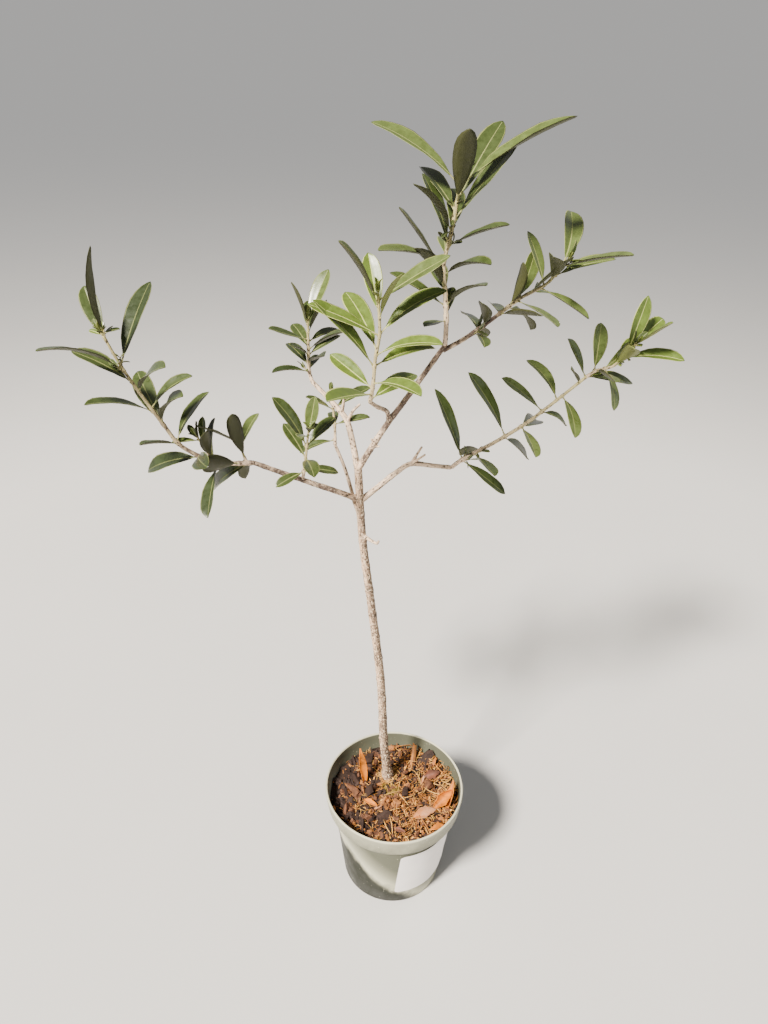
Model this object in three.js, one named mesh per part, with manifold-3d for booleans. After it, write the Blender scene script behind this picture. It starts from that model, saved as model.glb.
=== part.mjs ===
// A small olive tree in its tapered nursery pot: a slender trunk that forks low in the crown, thin
// boughs, and the leafy shoots that the boughs end in. Millimetres, +Z up. The origin is the centre
// of the pot's flat underside, and -Y is the side that faces the viewer.

import * as THREE from 'three';
import { mergeVertices } from 'three/addons/utils/BufferGeometryUtils.js';
import Module from 'manifold-3d';

const wasm = await Module();
wasm.setup();

// Pot
const POT_RIM_RADIUS = 55;
const POT_HEIGHT = 95;
const POT_BASE_RADIUS = 40;
const POT_SHOULDER_RADIUS = 48;
const POT_SHOULDER_HEIGHT = 71;
const POT_BAND_FOOT_RADIUS = 53.2;
const POT_BAND_FOOT_HEIGHT = 80;
const POT_WALL = 1.6;
const POT_FLOOR = 2.4;
const POT_SIDES = 36;

// Compost and what lies on it
const COMPOST_LEVEL = 83;
const COMPOST_RINGS = 6;
const COMPOST_SIDES = 24;
const CHIP_COUNT = 12;
const CHIP_SEED = 5;

// Label
const LABEL_HEIGHT = 52;
const LABEL_FOOT = 16.5;
const LABEL_FROM_DEG = -87;
const LABEL_TO_DEG = -7;
// How much further round the pot the label's top stands than its foot
const LABEL_LEAN_DEG = 4.3;
const LABEL_THICKNESS = 0.4;
const LABEL_STEPS = 12;

// Tree
const CLEARANCE = 0.3;
const RING_STEP = 8;
const LIMB_SIDES = 8;
const TWIG_SIDES = 5;
const LEAF_WIDTH_SHARE = 0.4;
const LEAF_SLIMMING = 0.003;
const LEAF_THICKNESS_SHARE = 0.014;
const LEAF_THICKNESS_LEAST = 0.55;
const LEAF_FOLD = 0.32;
const PETIOLE_HALF_WIDTH = 0.55;
const PETIOLE_SHARE = 0.12;

// How far one leaf may differ from its pair's rule
const SPREAD = { turn: 40, lean: 25, length: 0.3, curl: 20, slip: 0.3 };
const STRAYS_PER_LEAF = 5;

const WORLD_Y = new THREE.Vector3(0, 1, 0);
// Where the light came from that the leaves have turned to
const LIGHT = new THREE.Vector3(-0.1, -0.55, 0.83).normalize();
const ROOT_OF_TRUNK = [-5, 17, COMPOST_LEVEL + CLEARANCE];

// The trunk and boughs, each by the few places that its line passes through and its two radii
const LIMBS = {
  trunk: {
    line: [
      ROOT_OF_TRUNK, [-9.3, 16, 128], [-13, 14.5, 193],
      [-21.4, 12.5, 268], [-27.3, 10.5, 320], [-30.4, 8.5, 374],
    ],
    foot: 3.5,
    tip: 2.5,
    flare: 1.5,
    flareHeight: 9,
    sides: 10,
  },
  bough_right: {
    line: [[-30.4, 8.5, 372], [-21.8, 4, 389.5], [-12, -0.5, 408.5], [-2.5, -3, 424], [18, -2, 456]],
    foot: 2.1,
    tip: 1.4,
  },
  bough_upper_left: {
    line: [[-30.4, 8.5, 371], [-34.4, 15, 388.6], [-38.6, 21, 400.5], [-48, 31, 407], [-61, 42, 416]],
    foot: 2.2,
    tip: 1.35,
  },
  bough_left: {
    line: [[-29.5, 9.5, 349.5], [-44.7, 6, 357.4], [-58, 1, 365], [-78.7, -6, 376.8], [-91, -12, 385]],
    foot: 2,
    tip: 1.45,
  },
  bough_middle_left: {
    line: [[-28.6, 10, 336], [-33.1, 14, 345.7], [-34.9, 16, 352.7], [-39.9, 21.5, 367.1], [-46, 28, 379]],
    foot: 1.4,
    tip: 1.05,
  },
  bough_lower_right: {
    line: [
      [-29.3, 9.6, 348], [-17.4, 14, 356.8], [-7, 19, 364],
      [3, 24, 368.5], [17.6, 29, 365], [30, 33, 362],
    ],
    foot: 2.05,
    tip: 1.45,
  },
  bough_centre: {
    line: [[-12, -0.5, 408.5], [-13.2, -8, 418], [-18.8, -20, 426], [-22.6, -28, 432]],
    foot: 1.45,
    tip: 1.15,
  },
};

// Short dead stubs, each fused to its limb
const STUBS = [
  { on: 'trunk', line: [[-27.3, 10.5, 322], [-18.5, 2, 321.5], [-16.5, -2, 325.5]], foot: 1.25, tip: 0.9 },
  { on: 'bough_upper_left', line: [[-41, 24, 403], [-38.8, 24.4, 419]], foot: 1.1, tip: 0.7 },
  { on: 'bough_upper_left', line: [[-37, 20, 400], [-34, 20, 406], [-29.7, 22, 409.8]], foot: 1.1, tip: 0.8 },
  { on: 'bough_lower_right', line: [[3, 24, 368.5], [9.7, 26, 380]], foot: 1.1, tip: 0.75 },
  { on: 'bough_lower_right', line: [[3, 24, 368.5], [12, 22, 376.5]], foot: 0.95, tip: 0.7 },
  { on: 'bough_right', line: [[-20.5, 3.5, 391.5], [-22.3, 1, 396.5]], foot: 0.9, tip: 0.5 },
  { on: 'bough_right', line: [[-22, 4, 389.5], [-17, 2, 391]], foot: 0.9, tip: 0.5 },
];

// The leafy shoots of each mass. The first is the stem, and the others branch from it. Leaves stand
// in opposite pairs, each pair a quarter turn on from the last, from `bare` millimetres up to near
// the tip. Lean (degrees from the shoot) and length (millimetres) go from the foot pair to the tip
// pair, `seed` starts the run of numbers by which the leaves stray from that rule, and `sun` is how
// far their upper sides have turned to the light.
const QUARTER_TURN = 90;
const LAST_PAIR_AT = 0.96;
const MASSES = {
  leaves_leader: [
    {
      line: [[18, -2, 456], [18, -2, 467], [17, 0, 481], [15, 2, 499], [18, 2, 515], [21, 2, 542]],
      foot: 1.45, tip: 0.75, bare: 15, phase: 160, lean: [60, 42], length: [26, 50],
      curl: 20, pairs: 10, seed: 125, sun: 0.4,
    },
  ],
  leaves_upper_right: [
    {
      line: [[17, -2.2, 453], [29, -1, 460], [43, 4, 469], [59, 10, 480], [73, 14, 487], [82, 16, 498]],
      foot: 1.4, tip: 0.7, bare: 21, phase: 30, lean: [75, 35], length: [30, 37],
      curl: 20, pairs: 9, seed: 104, sun: 1.3,
    },
  ],
  leaves_lower_right: [
    {
      line: [[30, 33, 362], [37, 35, 367], [59, 41, 378], [77, 45, 389], [91, 48, 400], [114, 52, 420]],
      foot: 1.45, tip: 0.95, bare: 5, phase: 100, lean: [85, 65], length: [44, 30],
      curl: 20, pairs: 7, seed: 101, sun: 1.3,
    },
    {
      line: [[112, 52, 418], [119, 52, 424], [129, 52, 427], [136, 51, 435], [139, 50, 441]],
      foot: 0.95, tip: 0.6, bare: 3, phase: 80, lean: [60, 40], length: [32, 36],
      curl: 20, pairs: 6, seed: 11, sun: 1.5,
    },
  ],
  leaves_centre: [
    {
      line: [[-22.6, -28, 432], [-21, -32, 443], [-20, -33, 458], [-18, -34, 472], [-19, -36, 491]],
      foot: 1.15, tip: 0.65, bare: 3, phase: 130, lean: [70, 35], length: [42, 45],
      curl: 20, pairs: 7, seed: 114, sun: 0.9,
    },
  ],
  leaves_upper_left: [
    {
      line: [[-61, 42, 416], [-63, 44, 423], [-63, 45, 435], [-63, 46, 453]],
      foot: 1.2, tip: 0.65, bare: 6, phase: 130, lean: [75, 45], length: [26, 29],
      curl: 15, pairs: 7, seed: 106, sun: 0.9,
    },
  ],
  leaves_middle_left: [
    {
      line: [[-46, 28, 379], [-46, 30, 388], [-47, 31, 402], [-48, 31, 411]],
      foot: 1.0, tip: 0.6, bare: 2, phase: 110, lean: [80, 30], length: [22, 27],
      curl: 15, pairs: 4, seed: 5, sun: 0.9,
    },
  ],
  leaves_front_left: [
    {
      line: [[-64, -1.2, 368], [-61, -5, 387], [-60, -6, 395], [-59, -7, 403]],
      foot: 1.1, tip: 0.6, bare: 7, phase: 110, lean: [70, 35], length: [20, 36],
      curl: 10, pairs: 4, seed: 7, sun: 0.9,
    },
  ],
  leaves_left: [
    {
      line: [
        [-91, -12, 385], [-111, -18, 388], [-129, -22, 399],
        [-138, -24, 414], [-153, -28, 445], [-161, -30, 466],
      ],
      foot: 1.45, tip: 0.7, bare: 6, phase: 40, lean: [60, 35], length: [33, 44],
      curl: 30, pairs: 9, seed: 113, sun: 0.7,
    },
    {
      line: [[-112, -18, 388], [-117, -16, 393], [-121, -16, 401]],
      foot: 0.85, tip: 0.55, bare: 2.5, phase: 20, lean: [75, 40], length: [28, 14],
      curl: 10, pairs: 2, seed: 11, sun: 0.9,
    },
    {
      line: [[-95, -13, 385.5], [-98, -8, 389], [-100, -5, 394]],
      foot: 0.85, tip: 0.55, bare: 5, phase: 40, lean: [60, 50], length: [30, 24],
      curl: 20, pairs: 2, seed: 10, sun: 0.9,
    },
  ],
};

// A leaf that would meet a neighbour is tried again, shorter or turned on its shoot by these degrees
const LEAF_TRIES = [
  { shorter: 1, turned: 0 }, { shorter: 0.85, turned: 0 }, { shorter: 1, turned: 35 },
  { shorter: 1, turned: -35 }, { shorter: 0.8, turned: 70 }, { shorter: 0.8, turned: -70 },
  { shorter: 0.65, turned: 0 },
];

const radians = THREE.MathUtils.degToRad;
const mix = THREE.MathUtils.lerp;

// A run of numbers from -1 to 1 that is always the same for one seed
function strayNumbers(seed, count) {
  const modulus = 2147483647;
  const factor = 16807;
  const seedStep = 7919;
  const runIn = 3;
  let state = (seed * seedStep) % modulus;
  const numbers = [];
  for (let i = 0; i < runIn + count; i += 1) {
    state = (state * factor) % modulus;
    if (i >= runIn) numbers.push((state / modulus) * 2 - 1);
  }
  return numbers;
}

function curveThrough(points) {
  const places = points.map(([x, y, z]) => new THREE.Vector3(x, y, z));
  return new THREE.CatmullRomCurve3(places, false, 'catmullrom', 0.5);
}

// Two directions square to a line's own direction
function squareTo(direction) {
  const across = WORLD_Y.clone().addScaledVector(direction, -WORLD_Y.dot(direction)).normalize();
  const over = new THREE.Vector3().crossVectors(direction, across);
  return [across, over];
}

function circleAround(centre, direction, radius, sides) {
  const [across, over] = squareTo(direction);
  const ring = [];
  for (let i = 0; i < sides; i += 1) {
    const angle = (i / sides) * Math.PI * 2;
    const place = centre.clone();
    place.addScaledVector(across, Math.cos(angle) * radius);
    place.addScaledVector(over, Math.sin(angle) * radius);
    ring.push(place);
  }
  return ring;
}

// Closed mesh over a row of rings, flat at its start and flat or pointed at its end
function skinOver(rings, point = null) {
  const sides = rings[0].length;
  const last = rings.length - 1;
  const places = rings.flat();
  const faces = [];
  for (let r = 0; r < last; r += 1) {
    for (let i = 0; i < sides; i += 1) {
      const a = r * sides + i;
      const b = r * sides + ((i + 1) % sides);
      faces.push(a, b, b + sides, a, b + sides, a + sides);
    }
  }
  for (let i = 1; i < sides - 1; i += 1) faces.push(0, i + 1, i);
  if (point) {
    places.push(point);
    for (let i = 0; i < sides; i += 1) {
      faces.push(last * sides + i, last * sides + ((i + 1) % sides), places.length - 1);
    }
  } else {
    for (let i = 1; i < sides - 1; i += 1) faces.push(last * sides, last * sides + i, last * sides + i + 1);
  }
  return { places, faces };
}

function signedVolume({ places, faces }) {
  let sum = 0;
  for (let i = 0; i < faces.length; i += 3) {
    const [a, b, c] = [places[faces[i]], places[faces[i + 1]], places[faces[i + 2]]];
    sum += a.dot(new THREE.Vector3().crossVectors(b, c)) / 6;
  }
  return sum;
}

function solidFromSkin(skin) {
  const faces = signedVolume(skin) > 0 ? skin.faces : skin.faces.slice().reverse();
  const vertProperties = new Float32Array(skin.places.flatMap((place) => place.toArray()));
  return new wasm.Manifold(new wasm.Mesh({ numProp: 3, vertProperties, triVerts: new Uint32Array(faces) }));
}

function solidFromGeometry(geometry) {
  const bare = geometry.clone();
  bare.deleteAttribute('normal');
  bare.deleteAttribute('uv');
  const merged = mergeVertices(bare, 1e-4);
  const places = [];
  for (let i = 0; i < merged.attributes.position.count; i += 1) {
    places.push(new THREE.Vector3().fromBufferAttribute(merged.attributes.position, i));
  }
  return solidFromSkin({ places, faces: Array.from(merged.index.array) });
}

// The largest connected body of a solid, with sealed hollows filled and loose scraps dropped
function mainBody(solid) {
  const mergedEdge = 0.004;
  const bodies = solid.simplify(mergedEdge).decompose();
  return bodies.reduce((best, body) => (body.volume() > best.volume() ? body : best));
}

function geometryFromSolid(solid) {
  const mesh = solid.getMesh();
  const geometry = new THREE.BufferGeometry();
  geometry.setAttribute('position', new THREE.BufferAttribute(mesh.vertProperties, mesh.numProp));
  geometry.setIndex(Array.from(mesh.triVerts));
  return geometry;
}

// A tapering limb, made `grow` millimetres fatter and longer where a neighbour has to clear it
function limbSolid(limb, grow = 0) {
  const curve = curveThrough(limb.line);
  const length = curve.getLength();
  const steps = Math.max(2, Math.round(length / RING_STEP));
  const sides = limb.sides ?? LIMB_SIDES;
  const flare = limb.flare ?? 0;
  const flareHeight = limb.flareHeight ?? 1;
  const rings = [];
  for (let i = 0; i <= steps; i += 1) {
    const share = i / steps;
    const direction = curve.getTangentAt(share);
    const place = curve.getPointAt(share);
    const swelling = flare * Math.exp((-share * length) / flareHeight);
    if (i === 0) place.addScaledVector(direction, -grow);
    if (i === steps) place.addScaledVector(direction, grow);
    rings.push(circleAround(place, direction, mix(limb.foot, limb.tip, share) + swelling + grow, sides));
  }
  if (limb.flatFoot) rings[0].forEach((place) => { place.z = limb.line[0][2] - grow; });
  return solidFromSkin(skinOver(rings));
}

// Each leaf's place, direction and size on its shoot, by the pair rule
function leavesOn(shoot) {
  const curve = curveThrough(shoot.line);
  const length = curve.getLength();
  const firstAt = shoot.bare / length;
  const gaps = Math.max(shoot.pairs - 1, 1);
  const pairStep = (LAST_PAIR_AT - firstAt) / gaps;
  const stray = strayNumbers(shoot.seed, shoot.pairs * 2 * STRAYS_PER_LEAF);
  const leaves = [];
  for (let pair = 0; pair < shoot.pairs; pair += 1) {
    const share = pair / gaps;
    for (let side = 0; side < 2; side += 1) {
      const first = (pair * 2 + side) * STRAYS_PER_LEAF;
      const [turn, lean, size, curl, slip] = stray.slice(first, first + STRAYS_PER_LEAF);
      const at = THREE.MathUtils.clamp(firstAt + pairStep * (pair + slip * SPREAD.slip), 0, 1);
      const direction = curve.getTangentAt(at);
      const [across, over] = squareTo(direction);
      const azimuth = radians(shoot.phase + pair * QUARTER_TURN + side * 180 + turn * SPREAD.turn);
      const outward = across.multiplyScalar(Math.cos(azimuth)).addScaledVector(over, Math.sin(azimuth));
      leaves.push({
        root: curve.getPointAt(at),
        direction,
        outward,
        lean: radians(mix(shoot.lean[0], shoot.lean[1], share) + lean * SPREAD.lean),
        curl: radians(shoot.curl + curl * SPREAD.curl),
        length: mix(shoot.length[0], shoot.length[1], share) * (1 + size * SPREAD.length),
        sun: shoot.sun,
      });
    }
  }
  return leaves;
}

// A point of the leaf's midrib, with the leaf's direction, its upper side and its width there
function midribAt(leaf, share) {
  const angle = leaf.lean + leaf.curl * share;
  const bend = Math.abs(leaf.curl) < 1e-3 ? 1e-3 : leaf.curl;
  const along = (Math.sin(leaf.lean + bend * share) - Math.sin(leaf.lean)) / bend;
  const away = (Math.cos(leaf.lean) - Math.cos(leaf.lean + bend * share)) / bend;
  const place = leaf.root.clone();
  place.addScaledVector(leaf.direction, along * leaf.length);
  place.addScaledVector(leaf.outward, away * leaf.length);
  const axis = leaf.direction.clone().multiplyScalar(Math.cos(angle));
  axis.addScaledVector(leaf.outward, Math.sin(angle));
  const upper = leaf.direction.clone().multiplyScalar(Math.sin(angle));
  upper.addScaledVector(leaf.outward, -Math.cos(angle));
  upper.addScaledVector(LIGHT.clone().addScaledVector(axis, -LIGHT.dot(axis)), leaf.sun);
  upper.normalize();
  return { place, axis, upper, across: new THREE.Vector3().crossVectors(axis, upper) };
}

// Where along the leaf the blade has which share of its full width. Long leaves are slimmer.
const BLADE = [[0.3, 0.62], [0.6, 1], [0.86, 0.8]];

function leafSolid(leaf) {
  const halfWidth = (leaf.length * (LEAF_WIDTH_SHARE - LEAF_SLIMMING * leaf.length)) / 2;
  const thickness = Math.max(LEAF_THICKNESS_LEAST, leaf.length * LEAF_THICKNESS_SHARE);
  const stations = [[0, PETIOLE_HALF_WIDTH, 0], [PETIOLE_SHARE, PETIOLE_HALF_WIDTH, 0]];
  BLADE.forEach(([share, width]) => stations.push([share, width * halfWidth, LEAF_FOLD]));
  const rings = stations.map(([share, width, fold]) => {
    const { place, upper, across } = midribAt(leaf, share);
    const raised = place.clone().addScaledVector(upper, fold * width);
    const edge = (side) => raised.clone().addScaledVector(across, side * width);
    const middle = (side) => place.clone().addScaledVector(upper, (side * thickness) / 2);
    return [edge(1), middle(1), edge(-1), middle(-1)];
  });
  return solidFromSkin(skinOver(rings, midribAt(leaf, 1).place));
}

function clears(solid, neighbours) {
  return neighbours.every((neighbour) => solid.minGap(neighbour, CLEARANCE * 2) >= CLEARANCE);
}

function triedAgain(leaf, { shorter, turned }) {
  const outward = leaf.outward.clone().applyAxisAngle(leaf.direction, radians(turned));
  return { ...leaf, outward, length: leaf.length * shorter };
}

// The first try of a leaf that keeps clear of its neighbours, or none
function clearBlade(leaf, neighbours) {
  for (const change of LEAF_TRIES) {
    const blade = leafSolid(triedAgain(leaf, change));
    if (clears(blade, neighbours)) return blade;
  }
  return null;
}

// One mass: its shoots fused with their leaves, clear of the limbs and of the masses made before it
function massSolid(shoots, grownLimbs, limbs, masses) {
  let body = null;
  shoots.forEach((shoot) => {
    let twig = limbSolid({ ...shoot, sides: TWIG_SIDES });
    grownLimbs.forEach((limb) => { twig = twig.subtract(limb); });
    body = body ? body.add(mainBody(twig)) : mainBody(twig);
    leavesOn(shoot).forEach((leaf) => {
      const blade = clearBlade(leaf, [...limbs, ...masses]);
      if (blade) body = body.add(blade);
    });
  });
  return mainBody(body);
}

function buildTree() {
  const limbs = {};
  const grown = [];
  Object.entries(LIMBS).forEach(([name, limb]) => {
    const shape = name === 'trunk' ? { ...limb, flatFoot: true } : limb;
    let solid = limbSolid(shape);
    let fat = limbSolid(shape, CLEARANCE);
    STUBS.filter((stub) => stub.on === name).forEach((stub) => {
      solid = solid.add(limbSolid(stub));
      fat = fat.add(limbSolid(stub, CLEARANCE));
    });
    grown.forEach((neighbour) => { solid = solid.subtract(neighbour); });
    limbs[name] = mainBody(solid);
    grown.push(fat);
  });
  const masses = {};
  Object.entries(MASSES).forEach(([name, shoots]) => {
    masses[name] = massSolid(shoots, grown, Object.values(limbs), Object.values(masses));
  });
  return { limbs, masses };
}

// The pot's section from the middle of its floor, up the outside, over the rim and down the inside
function potOutside() {
  return [
    [POT_BASE_RADIUS - 1.5, 0],
    [POT_BASE_RADIUS, 1.5],
    [POT_SHOULDER_RADIUS, POT_SHOULDER_HEIGHT],
    [POT_SHOULDER_RADIUS + 1.5, POT_SHOULDER_HEIGHT + 4],
    [POT_BAND_FOOT_RADIUS, POT_BAND_FOOT_HEIGHT],
    [POT_RIM_RADIUS, POT_HEIGHT - 1.5],
  ];
}

function potInside() {
  return potOutside().slice(1).map(([radius, height]) => [radius - POT_WALL, Math.max(height, POT_FLOOR)]);
}

// A body turned about the pot's upright axis from its section of radii and heights
function turned(section) {
  const outline = section.map(([radius, height]) => new THREE.Vector2(radius, height));
  return new THREE.LatheGeometry(outline, POT_SIDES).rotateX(Math.PI / 2);
}

function potGeometry() {
  const rim = [[POT_RIM_RADIUS - 0.5, POT_HEIGHT], [POT_RIM_RADIUS - POT_WALL - 0.3, POT_HEIGHT]];
  return turned([[0, 0], ...potOutside(), ...rim, ...potInside().reverse(), [0, POT_FLOOR]]);
}

// Height of the compost's surface, level round the trunk's foot, high at the right and low at the left
function compostHeight(x, y) {
  const tilt = 0.045 * x - 0.015 * y;
  const lumps = Math.sin(x * 0.31 + 1) * Math.cos(y * 0.27) + 0.7 * Math.sin(x * 0.17 - y * 0.36);
  const fromTrunk = Math.hypot(x - ROOT_OF_TRUNK[0], y - ROOT_OF_TRUNK[1]);
  const levelled = THREE.MathUtils.smoothstep(fromTrunk, 7, 16);
  return COMPOST_LEVEL + (tilt + lumps) * levelled;
}

// The space inside the pot, just clear of its floor and wall and open far above its rim
function fillSpace() {
  const gap = CLEARANCE * 1.2;
  const wall = potInside().map(([radius, height]) => [radius - gap, Math.max(height, POT_FLOOR + CLEARANCE)]);
  const mouth = wall[wall.length - 1][0];
  const section = [[0, POT_FLOOR + CLEARANCE], ...wall, [mouth, POT_HEIGHT * 2], [0, POT_HEIGHT * 2]];
  return solidFromGeometry(turned(section));
}

// A round block with the compost's surface on top, wider than the pot
function compostBlock() {
  const circle = (radius, heightOf) => Array.from({ length: COMPOST_SIDES }, (_, i) => {
    const angle = (i / COMPOST_SIDES) * Math.PI * 2;
    const [x, y] = [Math.cos(angle) * radius, Math.sin(angle) * radius];
    return new THREE.Vector3(x, y, heightOf(x, y));
  });
  const rings = [circle(POT_RIM_RADIUS, () => 0)];
  for (let i = COMPOST_RINGS; i > 0; i -= 1) {
    rings.push(circle((POT_RIM_RADIUS * i) / COMPOST_RINGS, compostHeight));
  }
  return solidFromSkin(skinOver(rings, new THREE.Vector3(0, 0, compostHeight(0, 0))));
}

// A flake of bark or a dry leaf: a box that narrows to its top, set into the compost
function flakeSolid({ at, size, turn, tilt, lean = 0, taper = 0.5 }) {
  const [width, thickness, height] = size;
  const box = new THREE.BoxGeometry(width, thickness, height, 1, 1, 2).translate(0, 0, height / 2);
  const places = box.attributes.position;
  for (let i = 0; i < places.count; i += 1) {
    const share = places.getZ(i) / height;
    const narrowed = share > 0.75 ? taper : mix(0.7, 1, share * 2 > 1 ? 1 : share * 2);
    places.setX(i, places.getX(i) * narrowed);
  }
  box.rotateY(radians(lean)).rotateX(radians(tilt)).rotateZ(radians(turn));
  box.translate(at[0], at[1], compostHeight(at[0], at[1]) + at[2]);
  return solidFromGeometry(box);
}

const FLAKES = [
  { at: [-22.8, 13, -3], size: [7, 3.2, 34], turn: 6, tilt: -9, lean: -9 },
  { at: [-33, 2, -3], size: [6, 4, 14], turn: 60, tilt: 50 },
  { at: [40, -9, -2], size: [16, 1.6, 22], turn: 75, tilt: 62 },
  { at: [24, -22, -1], size: [9, 3, 17], turn: 70, tilt: -72 },
  { at: [10, 20, -2], size: [5, 3, 20], turn: -30, tilt: 25 },
  { at: [27, 9, -2], size: [9, 5, 13], turn: 20, tilt: 60 },
];

function scatteredFlakes() {
  const flakes = [];
  for (let i = 0; i < CHIP_COUNT; i += 1) {
    const stray = strayNumbers(CHIP_SEED + i, 6);
    const angle = i * 2.4;
    const radius = 12 + 30 * Math.sqrt((i + 0.5) / CHIP_COUNT);
    flakes.push({
      at: [Math.cos(angle) * radius, Math.sin(angle) * radius, -1.5],
      size: [6 + stray[0] * 2, 3 + stray[1], 9 + stray[2] * 3],
      turn: stray[3] * 180,
      tilt: 68 + stray[4] * 14,
    });
  }
  return flakes;
}

function mulchedCompost() {
  let body = compostBlock();
  const insidePot = ({ at }) => Math.hypot(at[0], at[1]) < POT_SHOULDER_RADIUS - 6;
  const clearOfTrunk = ({ at }) => Math.hypot(at[0] - ROOT_OF_TRUNK[0], at[1] - ROOT_OF_TRUNK[1]) > 14;
  const scattered = scatteredFlakes().filter((flake) => insidePot(flake) && clearOfTrunk(flake));
  [...FLAKES, ...scattered].forEach((flake) => { body = body.add(flakeSolid(flake)); });
  return mainBody(body.intersect(fillSpace()));
}

// A blank paper label, bent round the pot's side and just clear of it
function labelGeometry() {
  const radiusAt = (height) => {
    const share = (height - 1.5) / (POT_SHOULDER_HEIGHT - 1.5);
    return mix(POT_BASE_RADIUS, POT_SHOULDER_RADIUS, share) + CLEARANCE;
  };
  const top = LABEL_FOOT + LABEL_HEIGHT;
  const rings = [];
  for (let i = 0; i <= LABEL_STEPS; i += 1) {
    const corner = (height, out) => {
      const lean = (LABEL_LEAN_DEG * (height - LABEL_FOOT)) / LABEL_HEIGHT;
      const angle = radians(mix(LABEL_FROM_DEG, LABEL_TO_DEG, i / LABEL_STEPS) + lean);
      const radius = radiusAt(height) + out;
      return new THREE.Vector3(Math.cos(angle) * radius, Math.sin(angle) * radius, height);
    };
    rings.push([
      corner(LABEL_FOOT, 0),
      corner(LABEL_FOOT, LABEL_THICKNESS),
      corner(top, LABEL_THICKNESS),
      corner(top, 0),
    ]);
  }
  return geometryFromSolid(solidFromSkin(skinOver(rings)));
}

const FINISHES = {
  bark: { color: 0xa8998a, roughness: 0.9 },
  leaf: { color: 0x52663a, roughness: 0.45 },
  potPlastic: { color: 0x8f9a86, roughness: 0.45 },
  mulch: { color: 0x6a4a30, roughness: 0.95 },
  paper: { color: 0xe6e0dd, roughness: 0.7 },
};

const tree = new THREE.Group();

function addPiece(name, geometry, finish) {
  const material = new THREE.MeshStandardMaterial({ ...FINISHES[finish], metalness: 0 });
  const piece = new THREE.Mesh(geometry, material);
  piece.name = name;
  tree.add(piece);
}

addPiece('pot', potGeometry(), 'potPlastic');
addPiece('compost', geometryFromSolid(mulchedCompost()), 'mulch');
addPiece('label', labelGeometry(), 'paper');

const { limbs, masses } = buildTree();
Object.entries(limbs).forEach(([name, solid]) => addPiece(name, geometryFromSolid(solid), 'bark'));
Object.entries(masses).forEach(([name, solid]) => addPiece(name, geometryFromSolid(solid), 'leaf'));

export default tree;
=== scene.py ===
"""Looks of a small olive tree in its tapered nursery pot, grown over the part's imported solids."""

import math
import random

import bpy
import numpy as np
from mathutils import Matrix, Vector, noise
from mathutils.bvhtree import BVHTree
from mathutils.kdtree import KDTree


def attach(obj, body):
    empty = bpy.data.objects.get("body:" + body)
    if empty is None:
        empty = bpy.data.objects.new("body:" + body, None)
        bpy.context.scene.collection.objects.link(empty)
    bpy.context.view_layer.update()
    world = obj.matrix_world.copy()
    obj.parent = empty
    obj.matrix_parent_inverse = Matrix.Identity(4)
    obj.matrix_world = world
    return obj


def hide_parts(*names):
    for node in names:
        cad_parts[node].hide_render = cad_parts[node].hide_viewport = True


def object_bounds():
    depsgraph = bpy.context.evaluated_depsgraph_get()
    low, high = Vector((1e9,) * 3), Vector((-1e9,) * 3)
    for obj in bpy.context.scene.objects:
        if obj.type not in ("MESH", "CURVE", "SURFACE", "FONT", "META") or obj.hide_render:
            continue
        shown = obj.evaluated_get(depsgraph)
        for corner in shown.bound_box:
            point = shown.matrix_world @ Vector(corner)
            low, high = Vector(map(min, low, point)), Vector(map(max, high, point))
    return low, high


bl_info = {
    "name": "Potted olive tree",
    "version": (1, 0, 0),
    "blender": (4, 5, 0),
    "location": "3D View > Sidebar > Olive tree",
    "description": "Grows a small olive tree in its nursery pot over the part's packed solids",
    "category": "Object",
}

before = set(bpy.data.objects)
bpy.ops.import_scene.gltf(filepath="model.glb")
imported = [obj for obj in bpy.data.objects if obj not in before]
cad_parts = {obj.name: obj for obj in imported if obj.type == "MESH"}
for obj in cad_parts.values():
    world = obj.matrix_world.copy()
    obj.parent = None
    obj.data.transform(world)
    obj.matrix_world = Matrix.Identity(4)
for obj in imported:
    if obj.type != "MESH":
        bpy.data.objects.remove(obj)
CAD_LOW, CAD_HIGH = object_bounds()

MM = 0.001

# The pot, in millimetres. Its outside and inside are given as pairs of a radius and a height.
POT_HEIGHT = 95.0
POT_BASE_RADIUS = 40.0
POT_SHOULDER_RADIUS = 48.0
POT_SHOULDER_HEIGHT = 71.0
POT_FOOT_HEIGHT = 1.5
POT_FLOOR = 2.4
POT_OUTSIDE = [
    (39.2, 0.3), (40.0, 1.5), (42.0, 18.0), (44.0, 36.3), (45.9, 53.0), (47.5, 67.0), (47.9, 71.0),
    (48.2, 73.4), (49.2, 75.6), (51.4, 77.4), (52.8, 78.8), (53.4, 80.6), (53.8, 84.0), (54.3, 88.6),
    (54.6, 91.0), (55.0, 92.4), (55.0, 93.6), (54.7, 94.6), (54.2, 95.0),
]
POT_INSIDE = [
    (53.7, 94.9), (53.3, 94.4), (53.15, 93.4), (52.7, 89.0), (51.8, 81.5), (50.6, 78.6), (48.4, 75.4),
    (46.9, 72.4), (46.4, 70.5), (42.4, 36.3), (38.5, 2.4),
]
INSIDE_RADII, INSIDE_HEIGHTS = zip(*reversed(POT_INSIDE))

# The soft dent in the pot's wall, in millimetres, with its turn round the pot in radians
DENT_DEPTH = 0.8
DENT_HEIGHT = 67
DENT_HALF_HEIGHT = 6
DENT_TURN = -2.0
DENT_HALF_TURN = 0.3

# The label, in millimetres and degrees round the pot, and how much further round its top stands
LABEL_FOOT = 16.5
LABEL_HEIGHT = 52.0
LABEL_FROM = -87.0
LABEL_TO = -7.0
LABEL_LEAN = 4.3
LABEL_CORNER = 3.2

# How far the label stands off the pot, lifts at its right and left lower corners, and ripples
LABEL_GAP = 0.22
LABEL_LIFT_RIGHT = 0.9
LABEL_LIFT_LEFT = 0.45
LABEL_RIPPLE = 0.05

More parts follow.
